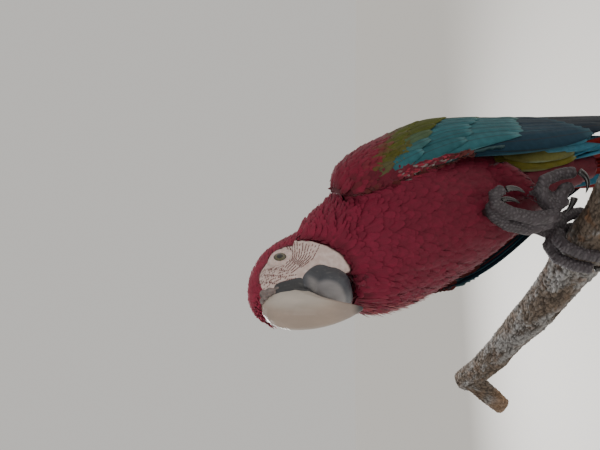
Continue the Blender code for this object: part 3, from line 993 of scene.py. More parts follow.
def breast_ruff():
    """Loose wisps on the breast's right side; their pink and pale tones, strongest where the
    breast is seen side-on, are painted light shining through the red feathers.
    """
    toward = unit((-0.766, -0.643, 0))
    facing = skin.face_normal @ toward
    band = (CENTRE[:, 2] < 0.660) & (CENTRE[:, 2] > 0.560) & (facing > 0.66)
    chosen = np.flatnonzero(band & np.isin(FACE_KIND, ("breast", "neck", "belly")))
    coat = Coat("breast_ruff")
    roots, found = skin.scatter(chosen, np.full(len(chosen), 2.0))
    for root, face in zip(roots, found):
        # Painted light shining through the feathers: pink to pale, strongest on the low band and
        # on faces seen side-on from the camera.
        lit_through = mixed(BACKLIT_PINK, BACKLIT_PALE, 0.6 * luck.random() ** 3)
        rim = smooth_step(0.66, 0.92, facing[face])
        low = smooth_step(0.555, 0.625, root[2])
        tint = mixed(BREAST_RED, lit_through, float(rim * low) * (0.15 + 0.65 * luck.random()))
        depth = skin.face_depth[face] * (0.9 + 0.15 * luck.random())
        loose = 3.4 * luck.random() * rim

        def lift(t, _, depth=depth, loose=loose):
            return (depth * (0.6 + 0.4 * t) + loose * t * t) * MM

        way = skin.face_flow[face] + luck.normal(0, 0.25, 3)
        coat.add(root, face, 11 + 6 * luck.random(), 2.6, lift, way, tint, 1.15)
    coat.piece(WISP_VANE)


head_coat()
body_coat("neck", 2.5, 13, 6.5, 1.2)
body_coat("breast", 3.2, 18, 9, 1.2)
body_coat("belly", 3.4, 20, 10, 1.2)
body_coat("vent", 3.4, 22, 10, 1.5)
body_coat("thigh", 2.4, 11, 6, 1.0)
chin_feathers()
breast_ruff()

# ---------------------------------------------------------------- wings

PIN_GREY = (0.22, 0.17, 0.165)
PIN_RED = (0.26, 0.02, 0.04)
DULL_RED = (0.16, 0.020, 0.018)
PRIMARY_INK, PRIMARY_BLACK = (0.006, 0.016, 0.030), (0.006, 0.009, 0.014)
PRIMARY_RIM = (0.022, 0.034, 0.040)
SECONDARY_BLUE, SECONDARY_DARK = (0.010, 0.036, 0.060), (0.008, 0.018, 0.034)
LEAF_SHADE = (0.030, 0.060, 0.030)
OLIVE_RIM, YELLOW_RIM = (0.11, 0.115, 0.016), (0.21, 0.20, 0.025)
PRIMARIES, SECONDARIES = 8, 9
# Rows of great coverts: how many, height of the roots at the front and at the back of the
# wing, height of the tips at both, width in mm, and how far the tips lift in mm.
COVERT_ROWS = (
    (10, 0.640, 0.560, 0.514, 0.500, 18, 1.2),
    (9, 0.646, 0.590, 0.566, 0.532, 16, 1.5),
    (9, 0.654, 0.612, 0.604, 0.562, 14, 1.5),
    (9, 0.658, 0.624, 0.628, 0.592, 12, 0.8),
)
COVERT_FOOT = 0.566
COVERT_VANE = Vane(12, 0, 0.03, 0.22, point=0.42, waist=0.85)
QUILL_VANE = Vane(22, 0, 0.02, 0.16, point=0.34, waist=0.95)
SMALL_COVERT_VANE = Vane(5, 0.05, 0.06, 0.25, point=0.5)
PIN_VANE = Vane(4, 0.25, 0.10, 0.30)


class Wing:
    """One folded wing: across runs from its front edge to its back edge, down is a height."""

    def __init__(self, side):
        self.side = side
        self.sign = 1 if side == "left" else -1
        self.names = [f"wing_{side}_{part}" for part in ("shoulder", "coverts", "quills")]
        self.tree, _ = tree_of(self.names)
        self.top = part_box(self.names[0])[1][2]
        self.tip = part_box(self.names[2])[0][2]
        self.levels = np.linspace(self.top - 6 * MM, self.tip + 3 * MM, 48)
        edges = np.array([self.edges_at(level) for level in self.levels])
        steady = np.array([0.25, 0.5, 0.25])
        self.front, self.back = (np.convolve(np.pad(edge, 1, "edge"), steady, "valid")
                                 for edge in edges.T)

    def edges_at(self, level):
        """The lowest and highest y where the wing is cut at a height."""
        cuts = []
        for name in self.names:
            mesh = nodes[name].data
            points, pairs = coordinates(mesh), edge_pairs(mesh)
            a, b = points[pairs[:, 0]], points[pairs[:, 1]]
            crossing = (a[:, 2] - level) * (b[:, 2] - level) < 0
            a, b = a[crossing], b[crossing]
            share = (level - a[:, 2]) / (b[:, 2] - a[:, 2])
            cuts.extend(a[:, 1] + share * (b[:, 1] - a[:, 1]))
        return (min(cuts), max(cuts)) if cuts else (np.nan, np.nan)

    def y_at(self, across, height):
        front = np.interp(-height, -self.levels, self.front)
        back = np.interp(-height, -self.levels, self.back)
        return front + np.clip(across, 0.02, 0.97) * (back - front)

    def touch(self, y, height, inner):
        """Where the wing's outer (or inner) face is, looked for from that side."""
        start, way = (0.3, -1) if not inner else (0.0, 1)
        found = self.tree.ray_cast(Vector((self.sign * start, y, height)),
                                   Vector((self.sign * way, 0, 0)))[0]
        if found is None:
            spot = Vector((self.sign * 0.06, y, height))
            found = self.tree.find_nearest(spot)[0]
        return np.array(found)

    def surface(self, across, height, inner=False):
        reach = 5 * MM
        y = self.y_at(across, height)
        here = self.touch(y, height, inner)
        along = self.touch(self.y_at(across, height + reach), height + reach, inner)
        beside = self.touch(y + reach * (1 if across < 0.5 else -1), height, inner)
        normal = np.cross(along - here, beside - here)
        outward = -self.sign if inner else self.sign
        if normal[0] * outward < 0:
            normal = -normal
        return here, unit(normal)

    def feather(self, across, down, bury_mm, rise_mm, steps=5, inner=False):
        """A shaft from (across, height) to (across, height), buried at its root."""
        points, normals = [], []
        for step in range(steps):
            t = step / (steps - 1)
            here, normal = self.surface(across[0] + (across[1] - across[0]) * t,
                                        down[0] + (down[1] - down[0]) * t, inner)
            lift = -bury_mm * (1 - t) ** 1.2 + rise_mm * t
            points.append(here + normal * lift * MM)
            normals.append(normal)
        return points, unit(relaxed_line(normals))


def relaxed_line(values):
    values = np.array(values)
    inner = (values[:-2] + values[1:-1] * 2 + values[2:]) / 4
    return np.concatenate([(values[:1] * 2 + values[1:2]) / 3, inner,
                           (values[-1:] * 2 + values[-2:-1]) / 3])


class Plumes(Feathers):
    """A piece of long feathers, each with its own colours and its own strip of the map."""

    def __init__(self, name, vane, slot, thickness_mm=0.3):
        super().__init__(name, QUILL_FEATHER, slot)
        self.vane, self.thickness = vane, thickness_mm

    def add(self, shaft, width_mm, tint, rim, twist=0.0):
        shade = 0.88 + 0.24 * luck.random()
        self.keep(shaft, width_mm, darker(tint, shade), darker(rim, shade), twist)

    def piece(self, *replaced):
        count = len(self.shafts)
        columns = math.ceil(math.sqrt(count * 3))
        cell = np.array((1 / columns, 1 / math.ceil(count / columns)))
        places = [cell * (i % columns + 0.5, i // columns + 0.5) for i in range(count)]
        mesh = self.mesh(self.vane, places, cell * 0.9)
        mesh = thickened(shown(self.name, mesh, QUILL_FEATHER), self.thickness)
        finish(shown(self.name, mesh, QUILL_FEATHER), self.slot, *replaced)


def wing_quills(wing):
    """Primaries lie deepest, secondaries over them; the inner face shows their dull red."""
    plumes = Plumes(f"wing_{wing.side}_flight_feathers", QUILL_VANE, "blue quills")
    tilt = -0.15 * wing.sign
    for index, share in enumerate(np.linspace(0, 1, PRIMARIES)):
        across = 0.10 + 0.80 * share
        end = wing.tip + (104 - 100 * share ** 0.7) * MM
        shaft = wing.feather((across * 0.8 + 0.1, across), (0.585, end), 2.2, -0.1 - 0.08 * index)
        plumes.add(shaft, 27 - 4 * share, mixed(PRIMARY_INK, PRIMARY_BLACK, share), PRIMARY_RIM,
                   tilt)
        across = 0.20 + 0.62 * share
        lining = wing.feather((across * 0.8 + 0.1, across), (0.56, end + 6 * MM), 1.2, 0.0,
                              inner=True)
        plumes.add(lining, 21 - 3 * share, DULL_RED, mixed(DULL_RED, NIGHT, 0.5))
    for index, share in enumerate(np.linspace(0, 1, SECONDARIES)):
        across = 0.06 + 0.80 * share
        shaft = wing.feather((across + 0.08, across), (0.60, 0.436 + 0.052 * share), 1.9,
                             0.35 - 0.05 * index)
        plumes.add(shaft, 24, mixed(SECONDARY_BLUE, SECONDARY_DARK, share),
                   mixed(PALE_TEAL, NIGHT, 0.6 + 0.35 * share), tilt)
    plumes.piece(wing.names[2])


def wing_coverts(wing):
    """Long teal greater coverts, then olive median coverts over their roots."""
    plumes = Plumes(f"wing_{wing.side}_great_coverts", COVERT_VANE, "green coverts")
    for count, root_front, root_back, tip_front, tip_back, width, lift in COVERT_ROWS:
        for share in np.linspace(0, 1, count):
            across = 0.15 + 0.78 * share
            start = root_front + (root_back - root_front) * share
            end = tip_front + (tip_back - tip_front) * share + luck.normal(0, 1.5) * MM
            shaft = wing.feather((across - 0.02, across + 0.03), (start, end), 1.6, lift)
            seen = 0.35 * start + 0.65 * end
            teal = float(smooth_step(0.646 - 0.100 * share, 0.622 - 0.100 * share, seen))
            edge = smooth_step(0.40, 0.85, share)
            tint = mixed(mixed(OLIVE, LEAF, 0.3), TEAL, teal)
            tint = mixed(tint, LEAF_SHADE, 0.55 * edge * teal)
            rim = mixed(mixed(OLIVE_RIM, PALE_TEAL, teal), YELLOW_RIM, 0.95 * edge)
            crimson = 0.6 * float(smooth_step(0.632 - 0.02 * share, 0.652 - 0.02 * share, seen))
            mantle = smooth_step(0.80, 0.92, share) * smooth_step(0.575, 0.600, seen)
            for red in (crimson, mantle):
                tint, rim = mixed(tint, WING_RED, red), mixed(rim, WING_RED, red)
            plumes.add(shaft, width, tint, rim, -0.10 * wing.sign)
    plumes.piece()


def small_wing_coverts(wing):
    """Scale-like coverts: crimson on the shoulder, an olive band, scruffy pins at the front."""
    def colours(roots, found):
        first, last = wing.y_at(0, roots[:, 2]), wing.y_at(1, roots[:, 2])
        share = ((roots[:, 1] - first) / np.maximum(last - first, MM)).clip(0, 1)
        height = roots[:, 2] + luck.normal(0, 0.004, len(roots))
        edge = 0.656 - 0.030 * share
        front = smooth_step(19, 14, (roots[:, 1] - first) / MM) * smooth_step(0.664, 0.654, height)
        pins = front * smooth_step(0.632, 0.622, height) * smooth_step(0.560, 0.570, height)

        def some(few):
            return luck.random(len(roots)) < few

        tint = WING_RED
        for colour, amount in (
                (darker(OLIVE, 0.8), smooth_step(edge + 0.010, edge - 0.010, height)),
                (darker(WING_RED, 0.8),
                 smooth_step(0.80, 0.95, share) * smooth_step(0.575, 0.600, height)),
                (darker(WING_RED, 0.62), front),
                (PIN_GREY, pins * some(0.28)),
                (PIN_RED, pins * some(0.30)),
                (PIN_GREY, 0.35 * smooth_step(0.655, 0.665, height) * some(0.012)),
                # Faces turned in towards the body: a dull red darkened further, partly the wing's
                # own red and partly painted shade.
                (darker(DULL_RED, 0.55),
                 smooth_step(-0.15, -0.6, skin.face_normal[found][:, 0] * wing.sign))):
            tint = blended(tint, colour, amount)
        return tint

    y, height = CENTRE[:, 1], CENTRE[:, 2]
    on_wing = np.char.startswith(np.array(FLESH)[skin.face_home], f"wing_{wing.side}")
    front = np.interp(-height, -wing.levels, wing.front)
    near_front = y < front + smooth_step(0.566, 0.590, height) * 12 * MM
    near_front &= height > COVERT_FOOT - 6 * MM
    plucked = near_front & (height < 0.634)
    brink = front + 6 * MM
    inner = skin.face_normal[:, 0] * wing.sign < -0.45
    inner &= (y > brink) | (height > COVERT_FOOT)
    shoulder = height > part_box(wing.names[0])[0][2] + 8 * MM
    trailing = y > np.interp(-height, -wing.levels, wing.back) - 7 * MM
    chosen = on_wing & (shoulder | inner | near_front) & ~(plucked & ~inner)
    chosen &= ~(trailing & (height < 0.606))
    chosen &= (y > brink + 8 * MM) | (height > COVERT_FOOT)
    coat = Coat(f"wing_{wing.side}_small_coverts", "green coverts")
    coat.grow(np.flatnonzero(chosen), 2.7, 11, 7, ruffle=0.5, colour=colours)
    coat.piece(SMALL_COVERT_VANE)
    pins = Coat(f"wing_{wing.side}_pins", "green coverts")
    pins.grow(np.flatnonzero(on_wing & plucked & ~inner), 1.9, 8, 3.0, ruffle=0.5,
              colour=colours)
    pins.piece(PIN_VANE)


for side_name in ("left", "right"):
    folded = Wing(side_name)
    wing_quills(folded)
    wing_coverts(folded)
    small_wing_coverts(folded)

# ---------------------------------------------------------------- tail

TAIL_VANE = Vane(30, 0, 0.008, 0.20, point=0.28, waist=1.0)
BLUE_BLADES = {1: 0.75, 2: 0.10}
FLANK_OLIVE, FLANK_RIM = (0.130, 0.115, 0.014), (0.24, 0.22, 0.04)
# Rows of coverts over and under the tail: height, length in mm, how far their tips stand out.
TAIL_ROWS = ((0.470, 95, 6), (0.500, 85, 8), (0.528, 70, 9))
# Coverts at the flank, in mm: x, y and height of the root; y and height of the tip; olive share.
FLANK = (
    (26, 60, 480, 92, 396, 0.0), (30, 56, 492, 86, 408, 0.0), (42, 50, 505, 84, 430, 0.0),
    (36, 46, 508, 78, 424, 0.0), (46, 44, 512, 76, 436, 0.0), (44, 36, 520, 68, 446, 0.05),
    (50, 38, 518, 72, 452, 0.0), (40, 32, 524, 62, 452, 0.85), (44, 26, 530, 56, 462, 0.9),
    (33, 30, 528, 60, 450, 1.0), (37, 22, 532, 50, 468, 1.0), (41, 18, 536, 44, 480, 1.0),
)
KNOTS = np.linspace(0, 1, 5)[:, None]


def flat_shaft(points, normal):
    return points, np.tile(normal, (len(points), 1))


def tail_feathers():
    """Each blade of the tail, red with a blue end, dark down its middle."""
    plumes = Plumes("tail_feathers", TAIL_VANE, "red feathers", thickness_mm=0.4)
    names = [f"tail_{side}_{number}" for side in ("left", "right") for number in range(1, 7)]
    for name in names:
        points = coordinates(nodes[name].data)
        centre = points.mean(axis=0)
        _, _, axes = np.linalg.svd(points - centre, full_matrices=False)
        down = axes[0] * (-1 if axes[0][2] > 0 else 1)
        normal = axes[2] * (1 if axes[2][1] > 0 else -1)
        along = (points - centre) @ down
        shaft = flat_shaft(centre + down * (along.min() + np.ptp(along) * KNOTS), normal)
        tint = mixed(TAIL_RED, SKY, BLUE_BLADES.get(int(name[-1]), 0.0))
        plumes.add(shaft, 27.5, tint, mixed(tint, SKY, 0.7), 0.02)
    plumes.piece(*names)


def tail_coverts():
    """Light blue coverts over and under the root of the tail, olive ones at the flank."""
    plumes = Plumes("tail_coverts", COVERT_VANE, "blue quills")
    slope = math.radians(17)
    down = np.array((0, math.sin(slope), -math.cos(slope)))
    back, side = np.array((0, -down[2], down[1])), np.array((1.0, 0, 0))
    for height, length, out in TAIL_ROWS:
        spine_y = np.interp(-height, -SPINE[:, 2], SPINE[:, 1])
        reach = (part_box("vent")[1][1] - spine_y) * 0.75
        for turn in np.linspace(-1, 1, 7):
            normal = unit(back * math.cos(turn) + side * math.sin(turn))
            start = (np.array((0, spine_y, height)) + back * reach * math.cos(turn) * 0.8
                     + side * 18 * MM * math.sin(turn))
            line = start + (down * length * KNOTS + normal * (out * KNOTS - 3)) * MM
            plumes.add(flat_shaft(line, normal), 20, mixed(SKY, TEAL, 0.2),
                       mixed(SKY, PALE_TEAL, 0.6))
    for sign in (1, -1):
        normal = unit((sign * 1.0, -0.42, -0.12))
        for x, y, height, tip_y, tip_height, olive in FLANK:
            first = np.array((sign * x, y, height))
            last = np.array((sign * x * 0.62, tip_y, tip_height))
            line = first + (last - first) * KNOTS + normal * 4 * np.sin(math.pi * KNOTS)
            plumes.add(flat_shaft(line * MM, normal), 19 + 7 * olive,
                       mixed(mixed(SKY, TEAL, 0.5), FLANK_OLIVE, olive),
                       mixed(mixed(SKY, PALE_TEAL, 0.5), FLANK_RIM, olive * 0.7))
    plumes.piece()


tail_feathers()
tail_coverts()

# ---------------------------------------------------------------- face, bill, cere and eyes

FACE_FEATHER = (0.11, 0.010, 0.014)
HORN_WARM = (0.36, 0.268, 0.21)
HORN_IVORY = (0.47, 0.42, 0.37)
HORN_BLACK = (0.030, 0.031, 0.035)
HORN_SLATE = (0.050, 0.054, 0.066)
MANDIBLE_GREY = (0.20, 0.19, 0.195)
WORN_HORN = (0.40, 0.37, 0.34)
CERE_GREY = (0.20, 0.165, 0.158)
NOSTRIL_SHADE = (0.012, 0.010, 0.010)
IRIS, PUPIL = (0.088, 0.076, 0.026), (0.002, 0.002, 0.002)
EYE_RIM, LID_EDGE = (0.05, 0.04, 0.035), (0.05, 0.035, 0.03)

# Rows of tiny feathers below the eye, as forward and up of the middle of the head.
FIRST_ROW_MM = np.array([(13.5, -3.6), (2.5, -7.6), (-10.4, -3.4)])
LAST_ROW_MM = np.array([(19.5, -12.6), (10, -21.2), (-1.6, -30.0)])
EYE_ROWS = 12
# Outlines in the same measures: the lower bill, the dark base of the bill and its pale edge.
MANDIBLE_MM = [(31, -19), (22.5, -17.6), (14.4, -23.2), (6.6, -31), (7.6, -42.4), (10.8, -49.2),
               (16, -53), (27, -50), (36, -42), (39, -30)]
GAPE_MM = [(34, 2.6), (28.2, 2.2), (25.9, -2.8), (24.3, -9.9), (21.6, -16.8), (22.5, -20.5),
           (27.5, -27), (33, -24), (34, -10)]
PALE_EDGE_MM = [(33.4, 4), (32.6, 0.3), (31.2, -10.4), (28.2, -18.7), (26.4, -25), (31, -34.4),
                (35.5, -46), (20, -46), (15, 4)]
# Lumps of the cere: forward, left and up of the middle of each, and its radii.
CERE_MM = (((29.0, 11.0, 9.6), (5.0, 4.6, 4.2)), ((33.0, 8.6, 11.4), (3.0, 3.0, 2.0)),
           ((34.4, 12.2, 8.0), (2.1, 2.2, 2.0)), ((33.6, 13.6, 4.4), (1.8, 1.8, 1.9)),
           ((32.6, 14.4, 1.2), (1.5, 1.6, 1.6)), ((30.8, 15.2, 5.0), (2.6, 1.8, 3.4)),
           ((29.8, 15.9, -0.6), (1.7, 1.5, 2.6)))
NOSTRIL_MM, NOSTRIL_RADII_MM = np.array((31.6, 10.9, 12.0)), (2.4, 2.7, 1.7)
# The eyelids in section: distance from the eye's axis, and rise over the face.
LID_MM = ((4.75, -1.3), (4.75, -0.7), (4.9, -0.1), (5.3, 0.35), (5.9, 0.50), (6.35, 0.22),
          (6.8, 0.45), (7.4, 0.40), (7.8, 0.12), (8.4, 0.30), (9.1, 0.22), (10.0, -0.05),
          (11.2, -0.6), (11.2, -1.9), (8.0, -2.6), (5.2, -2.4))
LID_INNER, LID_OUTER, LID_TURNS = 4.75, 11.2, 72


def rounded(mesh, rounds):
    """Smooths a mesh without shrinking it."""
    pairs, points = edge_pairs(mesh), coordinates(mesh)
    for _ in range(rounds):
        points = relaxed(points, pairs, 1, 0.6)
        points = relaxed(points, pairs, 1, -0.62)
    move_to(mesh, points)
    smooth_faces(mesh)
    return points


def horn_finish(name, coat, streak):
    shader = Shader(name, Coat_Weight=coat, Coat_Roughness=0.22, Specular_IOR_Level=0.45)
    growth = shader.noise(70, 5, stretch=(1, 1, 0.28))
    fine = shader.noise(520, 3, stretch=(1, 1, 0.4))
    worn = shader.toned(shader.colour("tint"), growth.over(0.32, 0.68), grey(1 - streak),
                        grey(1 + 0.5 * streak))
    scuffed = shader.mix(fine.over(0.56, 0.76) * 0.10, worn, WORN_HORN)
    return shader.finish(Base_Color=scuffed, Roughness=0.34 + fine * 0.22,
                         Normal=shader.bump(growth + fine * 0.35, 0.22, 0.45))


PALE_HORN = horn_finish("pale bill horn", 0.20, 0.14)
DARK_HORN = horn_finish("dark horn", 0.22, 0.30)


def upper_bill():
    mesh = remeshed(["bill_upper"], 0.7)
    forward, left, up = head_mm(rounded(mesh, 9))
    beside = np.abs(left)
    tint = blended(HORN_IVORY, HORN_WARM, 0.8 * smooth_step(13, 5, beside))
    tint = tint * (0.93 + 0.07 * smooth_step(0, 9, beside))[:, None]
    tint = blended(tint, CERE_GREY, 0.45 * smooth_step(-36, -54, up))
    tint = blended(tint, HORN_BLACK, smooth_step(-52, -60, up))
    behind = inside_outline(forward, up, PALE_EDGE_MM)
    tint = blended(tint, HORN_BLACK, smooth_step(-0.5, 0.9, behind))
    colour_points(mesh, "tint", tint)
    finish(shown("upper_bill", mesh, PALE_HORN), "pale horn", "bill_upper")


def dark_shell(name, sources, outline, rise_mm, tint_of, *replaced):
    """A shell over CAD nodes inside an outline in head measures, its rim sunk in the skin."""
    mesh = remeshed(sources, 0.8, swell_mm=0.2)
    points = relaxed(rounded(mesh, 4), edge_pairs(mesh), 22)
    move_to(mesh, points)
    forward, _, up = head_mm(points)
    inside = inside_outline(forward, up, outline)
    height = rise_mm * smooth_step(-0.4, 2.2, inside) - 0.9 * smooth_step(0.4, -0.8, inside)
    move_to(mesh, points + vertex_normals(mesh) * (height * MM)[:, None])
    colour_points(mesh, "tint", tint_of(forward, up))
    shell = bmesh.new()
    shell.from_mesh(mesh)
    doomed = [vertex for vertex, depth in zip(shell.verts, inside) if depth < -1.7]
    bmesh.ops.delete(shell, geom=doomed, context="VERTS")
    shell.to_mesh(mesh)
    shell.free()
    mesh = thickened(shown(name, mesh, DARK_HORN), 1.0)
    finish(shown(name, mesh, DARK_HORN), "black horn", *replaced)


def lower_bill_tints(forward, up):
    front = smooth_step(20.5, 24.5, forward + 0.18 * (up + 36)) * smooth_step(-52, -44, up)
    tint = blended(HORN_SLATE, MANDIBLE_GREY, front * smooth_step(-19, -26, up))
    return blended(tint, HORN_BLACK, 0.5 * smooth_step(13, 8, forward))


def bill_base_tints(*_):
    return darker(HORN_BLACK, 1.3)


def balls(lumps, voxel_mm):
    """One lumpy mesh from balls: forward, left, up of each in the head, and its radii."""
    joined = bmesh.new()
    for centre, radii in lumps:
        for vertex in bmesh.ops.create_icosphere(joined, subdivisions=3, radius=1.0)["verts"]:
            vertex.co = from_head(*(c + r * v for c, r, v in zip(centre, radii, vertex.co)))
    bmesh.ops.recalc_face_normals(joined, faces=joined.faces)
    return voxel_mesh(joined, voxel_mm)


def cere(side, sign):
    """Wrinkled grey skin at the bill's root, with the nostril in it; the right is set back."""
    set_back = 1.6 if sign < 0 else 0.0
    mesh = balls([((f - set_back, l * sign, u), radii) for (f, l, u), radii in CERE_MM], 0.45)
    points = relaxed(rounded(mesh, 2), edge_pairs(mesh), 9)
    off = np.stack(head_mm(points), axis=1) - NOSTRIL_MM * (1, sign, 1)
    # The nostril pit, sunk and painted near black: painted shade in the opening.
    pit = smooth_step(1.15, 0.35, np.linalg.norm(off / NOSTRIL_RADII_MM, axis=1))
    wrinkle = np.array([noise.noise(Vector(p) * 420) for p in points])
    points = points + vertex_normals(mesh) * ((0.20 * wrinkle - 1.7 * pit) * MM)[:, None]
    move_to(mesh, points)
    # Wrinkle tops painted lighter and their grooves darker: painted light and shade following the
    # wrinkles.
    tint = blended(np.array(CERE_GREY) * (1 + 0.35 * wrinkle[:, None]), NOSTRIL_SHADE, pit)
    colour_points(mesh, "tint", np.clip(tint, 0.004, 1))
    smooth_faces(mesh)
    finish(shown(f"cere_{side}", mesh, BARE_FINISH), "grey scaly skin")


def eye_axis(sign):
    return unit(FORWARD * 0.34 + LEFT * (0.92 * sign) - UP * 0.17)


def eyeball(side, sign):
    """Iris and pupil under a low clear bulge."""
    centre, axis = middle(f"eye_{side}"), eye_axis(sign)
    ball = bmesh.new()
    bmesh.ops.create_icosphere(ball, subdivisions=6, radius=8.2 * MM)
    mesh = bpy.data.meshes.new("eyeball")
    ball.to_mesh(mesh)
    ball.free()
    points = coordinates(mesh)
    away = np.degrees(np.arccos(np.clip(unit(points) @ axis, -1, 1)))
    points = points * (1 + 0.035 * smooth_step(30, 0, away))[:, None]
    around = np.array([noise.noise(Vector(unit(p)) * 14) for p in points])
    iris = np.array(IRIS) * (1 + 0.5 * around[:, None])
    iris = iris * (1 - 0.55 * smooth_step(22, 32, away))[:, None]
    tint = blended(iris, PUPIL, smooth_step(17.5, 16.0, away + around))
    tint = blended(tint, EYE_RIM, smooth_step(33, 35, away))
    move_to(mesh, points + centre)
    colour_points(mesh, "tint", np.clip(tint, 0.001, 1))
    smooth_faces(mesh)
    finish(shown(f"eyeball_{side}", mesh, EYE_FINISH), "eye", f"eye_{side}")


def eyelids(side, sign):
    """Rings of pale skin round the eye, their outer edge sunk into the face."""
    centre, axis = middle(f"eye_{side}"), eye_axis(sign)
    first = unit(np.cross(axis, UP))
    second = np.cross(axis, first)
    angles = np.linspace(0, 2 * math.pi, LID_TURNS, endpoint=False)
    ways = first * np.cos(angles)[:, None] + second * np.sin(angles)[:, None]
    heights = []
    for way in ways:
        start = centre + (axis * 30 + way * LID_OUTER) * MM
        found = skin.tree.ray_cast(Vector(start), Vector(-axis))[0]
        heights.append(30 - np.linalg.norm(np.array(found) - start) / MM if found else 6.2)
    for _ in range(6):
        heights = (np.roll(heights, 1) + np.array(heights) * 2 + np.roll(heights, -1)) / 4
    points, tints = [], []
    for way, angle, edge in zip(ways, angles, heights):
        for row, (radius, rise) in enumerate(LID_MM):
            narrow = 1 - 0.15 * smooth_step(8.5, 6, radius) * abs(math.cos(angle))
            crease = 1 + 0.35 * math.sin(13 * angle + row) * (0.3 < radius - 5 < 4.5)
            out = (radius - LID_INNER) / (LID_OUTER - LID_INNER)
            rest = 6.95 + (edge - 6.95) * out ** 1.5 + 0.9 * math.sin(math.pi * out) ** 2
            points.append(centre + (way * radius * narrow + axis * (rest + rise * crease)) * MM)
            shade = 1.05 if rise > 0 else 0.80
            tints.append(darker(BARE_SKIN, shade) if 0 < row < 13 else LID_EDGE)
    rows = len(LID_MM)
    quads = [(t * rows + r, t * rows + (r + 1) % rows, (t + 1) % LID_TURNS * rows + (r + 1) % rows,
              (t + 1) % LID_TURNS * rows + r) for t in range(LID_TURNS) for r in range(rows)]
    mesh = mesh_of_quads("eyelids", points, np.array(quads), {}, {"tint": tints})
    turned_out(mesh)
    piece = shown(f"eyelids_{side}", mesh, BARE_FINISH)
    finer = piece.modifiers.new("finer", "SUBSURF")
    finer.levels = finer.render_levels = 1
    finish(shown(f"eyelids_{side}", applied(piece), BARE_FINISH), "grey scaly skin")


def along_row(row, gap_mm):
    """Evenly spaced places and headings along a smooth line through the row's points."""
    row = np.array(row, float)
    t = np.linspace(0, 1, 60)[:, None]
    curve = (1 - t) ** 2 * row[0] + 2 * t * (1 - t) * (2 * row[1] - (row[0] + row[2]) / 2) \
        + t ** 2 * row[2]
    steps = np.linalg.norm(np.diff(curve, axis=0), axis=1)
    travelled = np.concatenate([[0], np.cumsum(steps)])
    stops = np.arange(0, travelled[-1], gap_mm)
    places = np.stack([np.interp(stops, travelled, curve[:, axis]) for axis in (0, 1)], axis=1)
    return places, unit(np.gradient(places, axis=0))


def face_feathers():
    """Lines of tiny feathers across the bare face, and speckled lores."""
    coat = Coat("face_feather_rows")

    def tuft(sign, place, heading, length_mm, width_mm):
        place = place + luck.normal(0, 0.12, 2)
        start = from_head(place[0], 60 * sign, place[1])
        found, _, face, _ = skin.tree.ray_cast(Vector(start), Vector(-LEFT * sign))
        if found is None or skin.face_bare[face] < 0.6:
            return
        way = FORWARD * heading[0] + UP * heading[1]
        coat.add(np.array(found), face, length_mm, width_mm,
                 lambda t, _: (0.02 + 0.30 * t) * MM, way,
                 darker(FACE_FEATHER, 0.7 + 0.6 * luck.random()), 1.3)

    for sign in (1, -1):
        for number, share in enumerate(np.linspace(0, 1, EYE_ROWS)):
            row = FIRST_ROW_MM + (LAST_ROW_MM - FIRST_ROW_MM) * share
            places, headings = along_row(row, 1.7)
            for place, heading in zip(places[number % 2 * 4:], headings[number % 2 * 4:]):
                if luck.random() < 0.92:
                    tuft(sign, place, heading, 2.3, 0.66)
        for column in np.arange(11.5, 29, 1.55):
            for up in np.arange(-13, 17, 1.35):
                place = np.array((column + 0.9 * math.sin(up / 2.6 + column), up))
                clear = np.hypot(place[0] - 1.9, place[1]) > 10.5
                if clear and up > -3.5 - 1.5 * max(0, column - 14.5) and luck.random() < 0.72:
                    tuft(sign, place, (-0.55, -0.83), 1.7, 0.66)
    coat.piece(Vane(3, 0.10, 0.05, 0.25))


def bare_finish():
    shader = Shader("bare face skin", Specular_IOR_Level=0.3, Subsurface_Weight=0.08,
                    Subsurface_Scale=0.002)
    fine = shader.noise(1500, 3)
    folds = shader.noise(380, 4)
    colour = shader.toned(shader.colour("tint"), folds.over(0.3, 0.7), (0.84, 0.78, 0.77),
                          (1.06, 1.05, 1.05))
    return shader.finish(Base_Color=colour, Roughness=0.50 + fine * 0.2,
                         Normal=shader.bump(fine * 0.4 + folds, 0.35, 0.6))


def eye_finish():
    shader = Shader("eye", Coat_Weight=0.55, Coat_Roughness=0.03, Specular_IOR_Level=0.6)
    streaks = shader.noise(900, 3)
    colour = shader.toned(shader.colour("tint"), streaks.over(0.3, 0.7), grey(0.80), grey(1.15))
    return shader.finish(Base_Color=colour, Roughness=0.10 + streaks * 0.05)


BARE_FINISH = bare_finish()
EYE_FINISH = eye_finish()
upper_bill()
dark_shell("lower_bill", ["head", "bill_lower"], MANDIBLE_MM, 1.5, lower_bill_tints, "bill_lower")
dark_shell("bill_base", ["head", "bill_upper"], GAPE_MM, 0.7, bill_base_tints)
for side_name, side_sign in (("left", 1), ("right", -1)):
    cere(side_name, side_sign)
    eyeball(side_name, side_sign)
    eyelids(side_name, side_sign)
face_feathers()

# ---------------------------------------------------------------- feet, branch and stand

SCALE_TOP_PALE = (0.17, 0.155, 0.158)
CLAWS = [toe.replace("toe", "claw") for toe in TOES]
CLAW_RINGS, CLAW_SIDES = 18, 14
CLAW_GREY, CLAW_BLACK = (0.045, 0.040, 0.038), (0.012, 0.011, 0.012)
CLAW_TIP = (0.015, 0.014, 0.014)
BARK_BROWN = (0.155, 0.120, 0.092)
BARK_PALE = (0.27, 0.262, 0.255)
BARK_DARK = (0.030, 0.022, 0.017)
BARK_RUST = (0.20, 0.105, 0.055)
BARE_WOOD = (0.30, 0.19, 0.115)


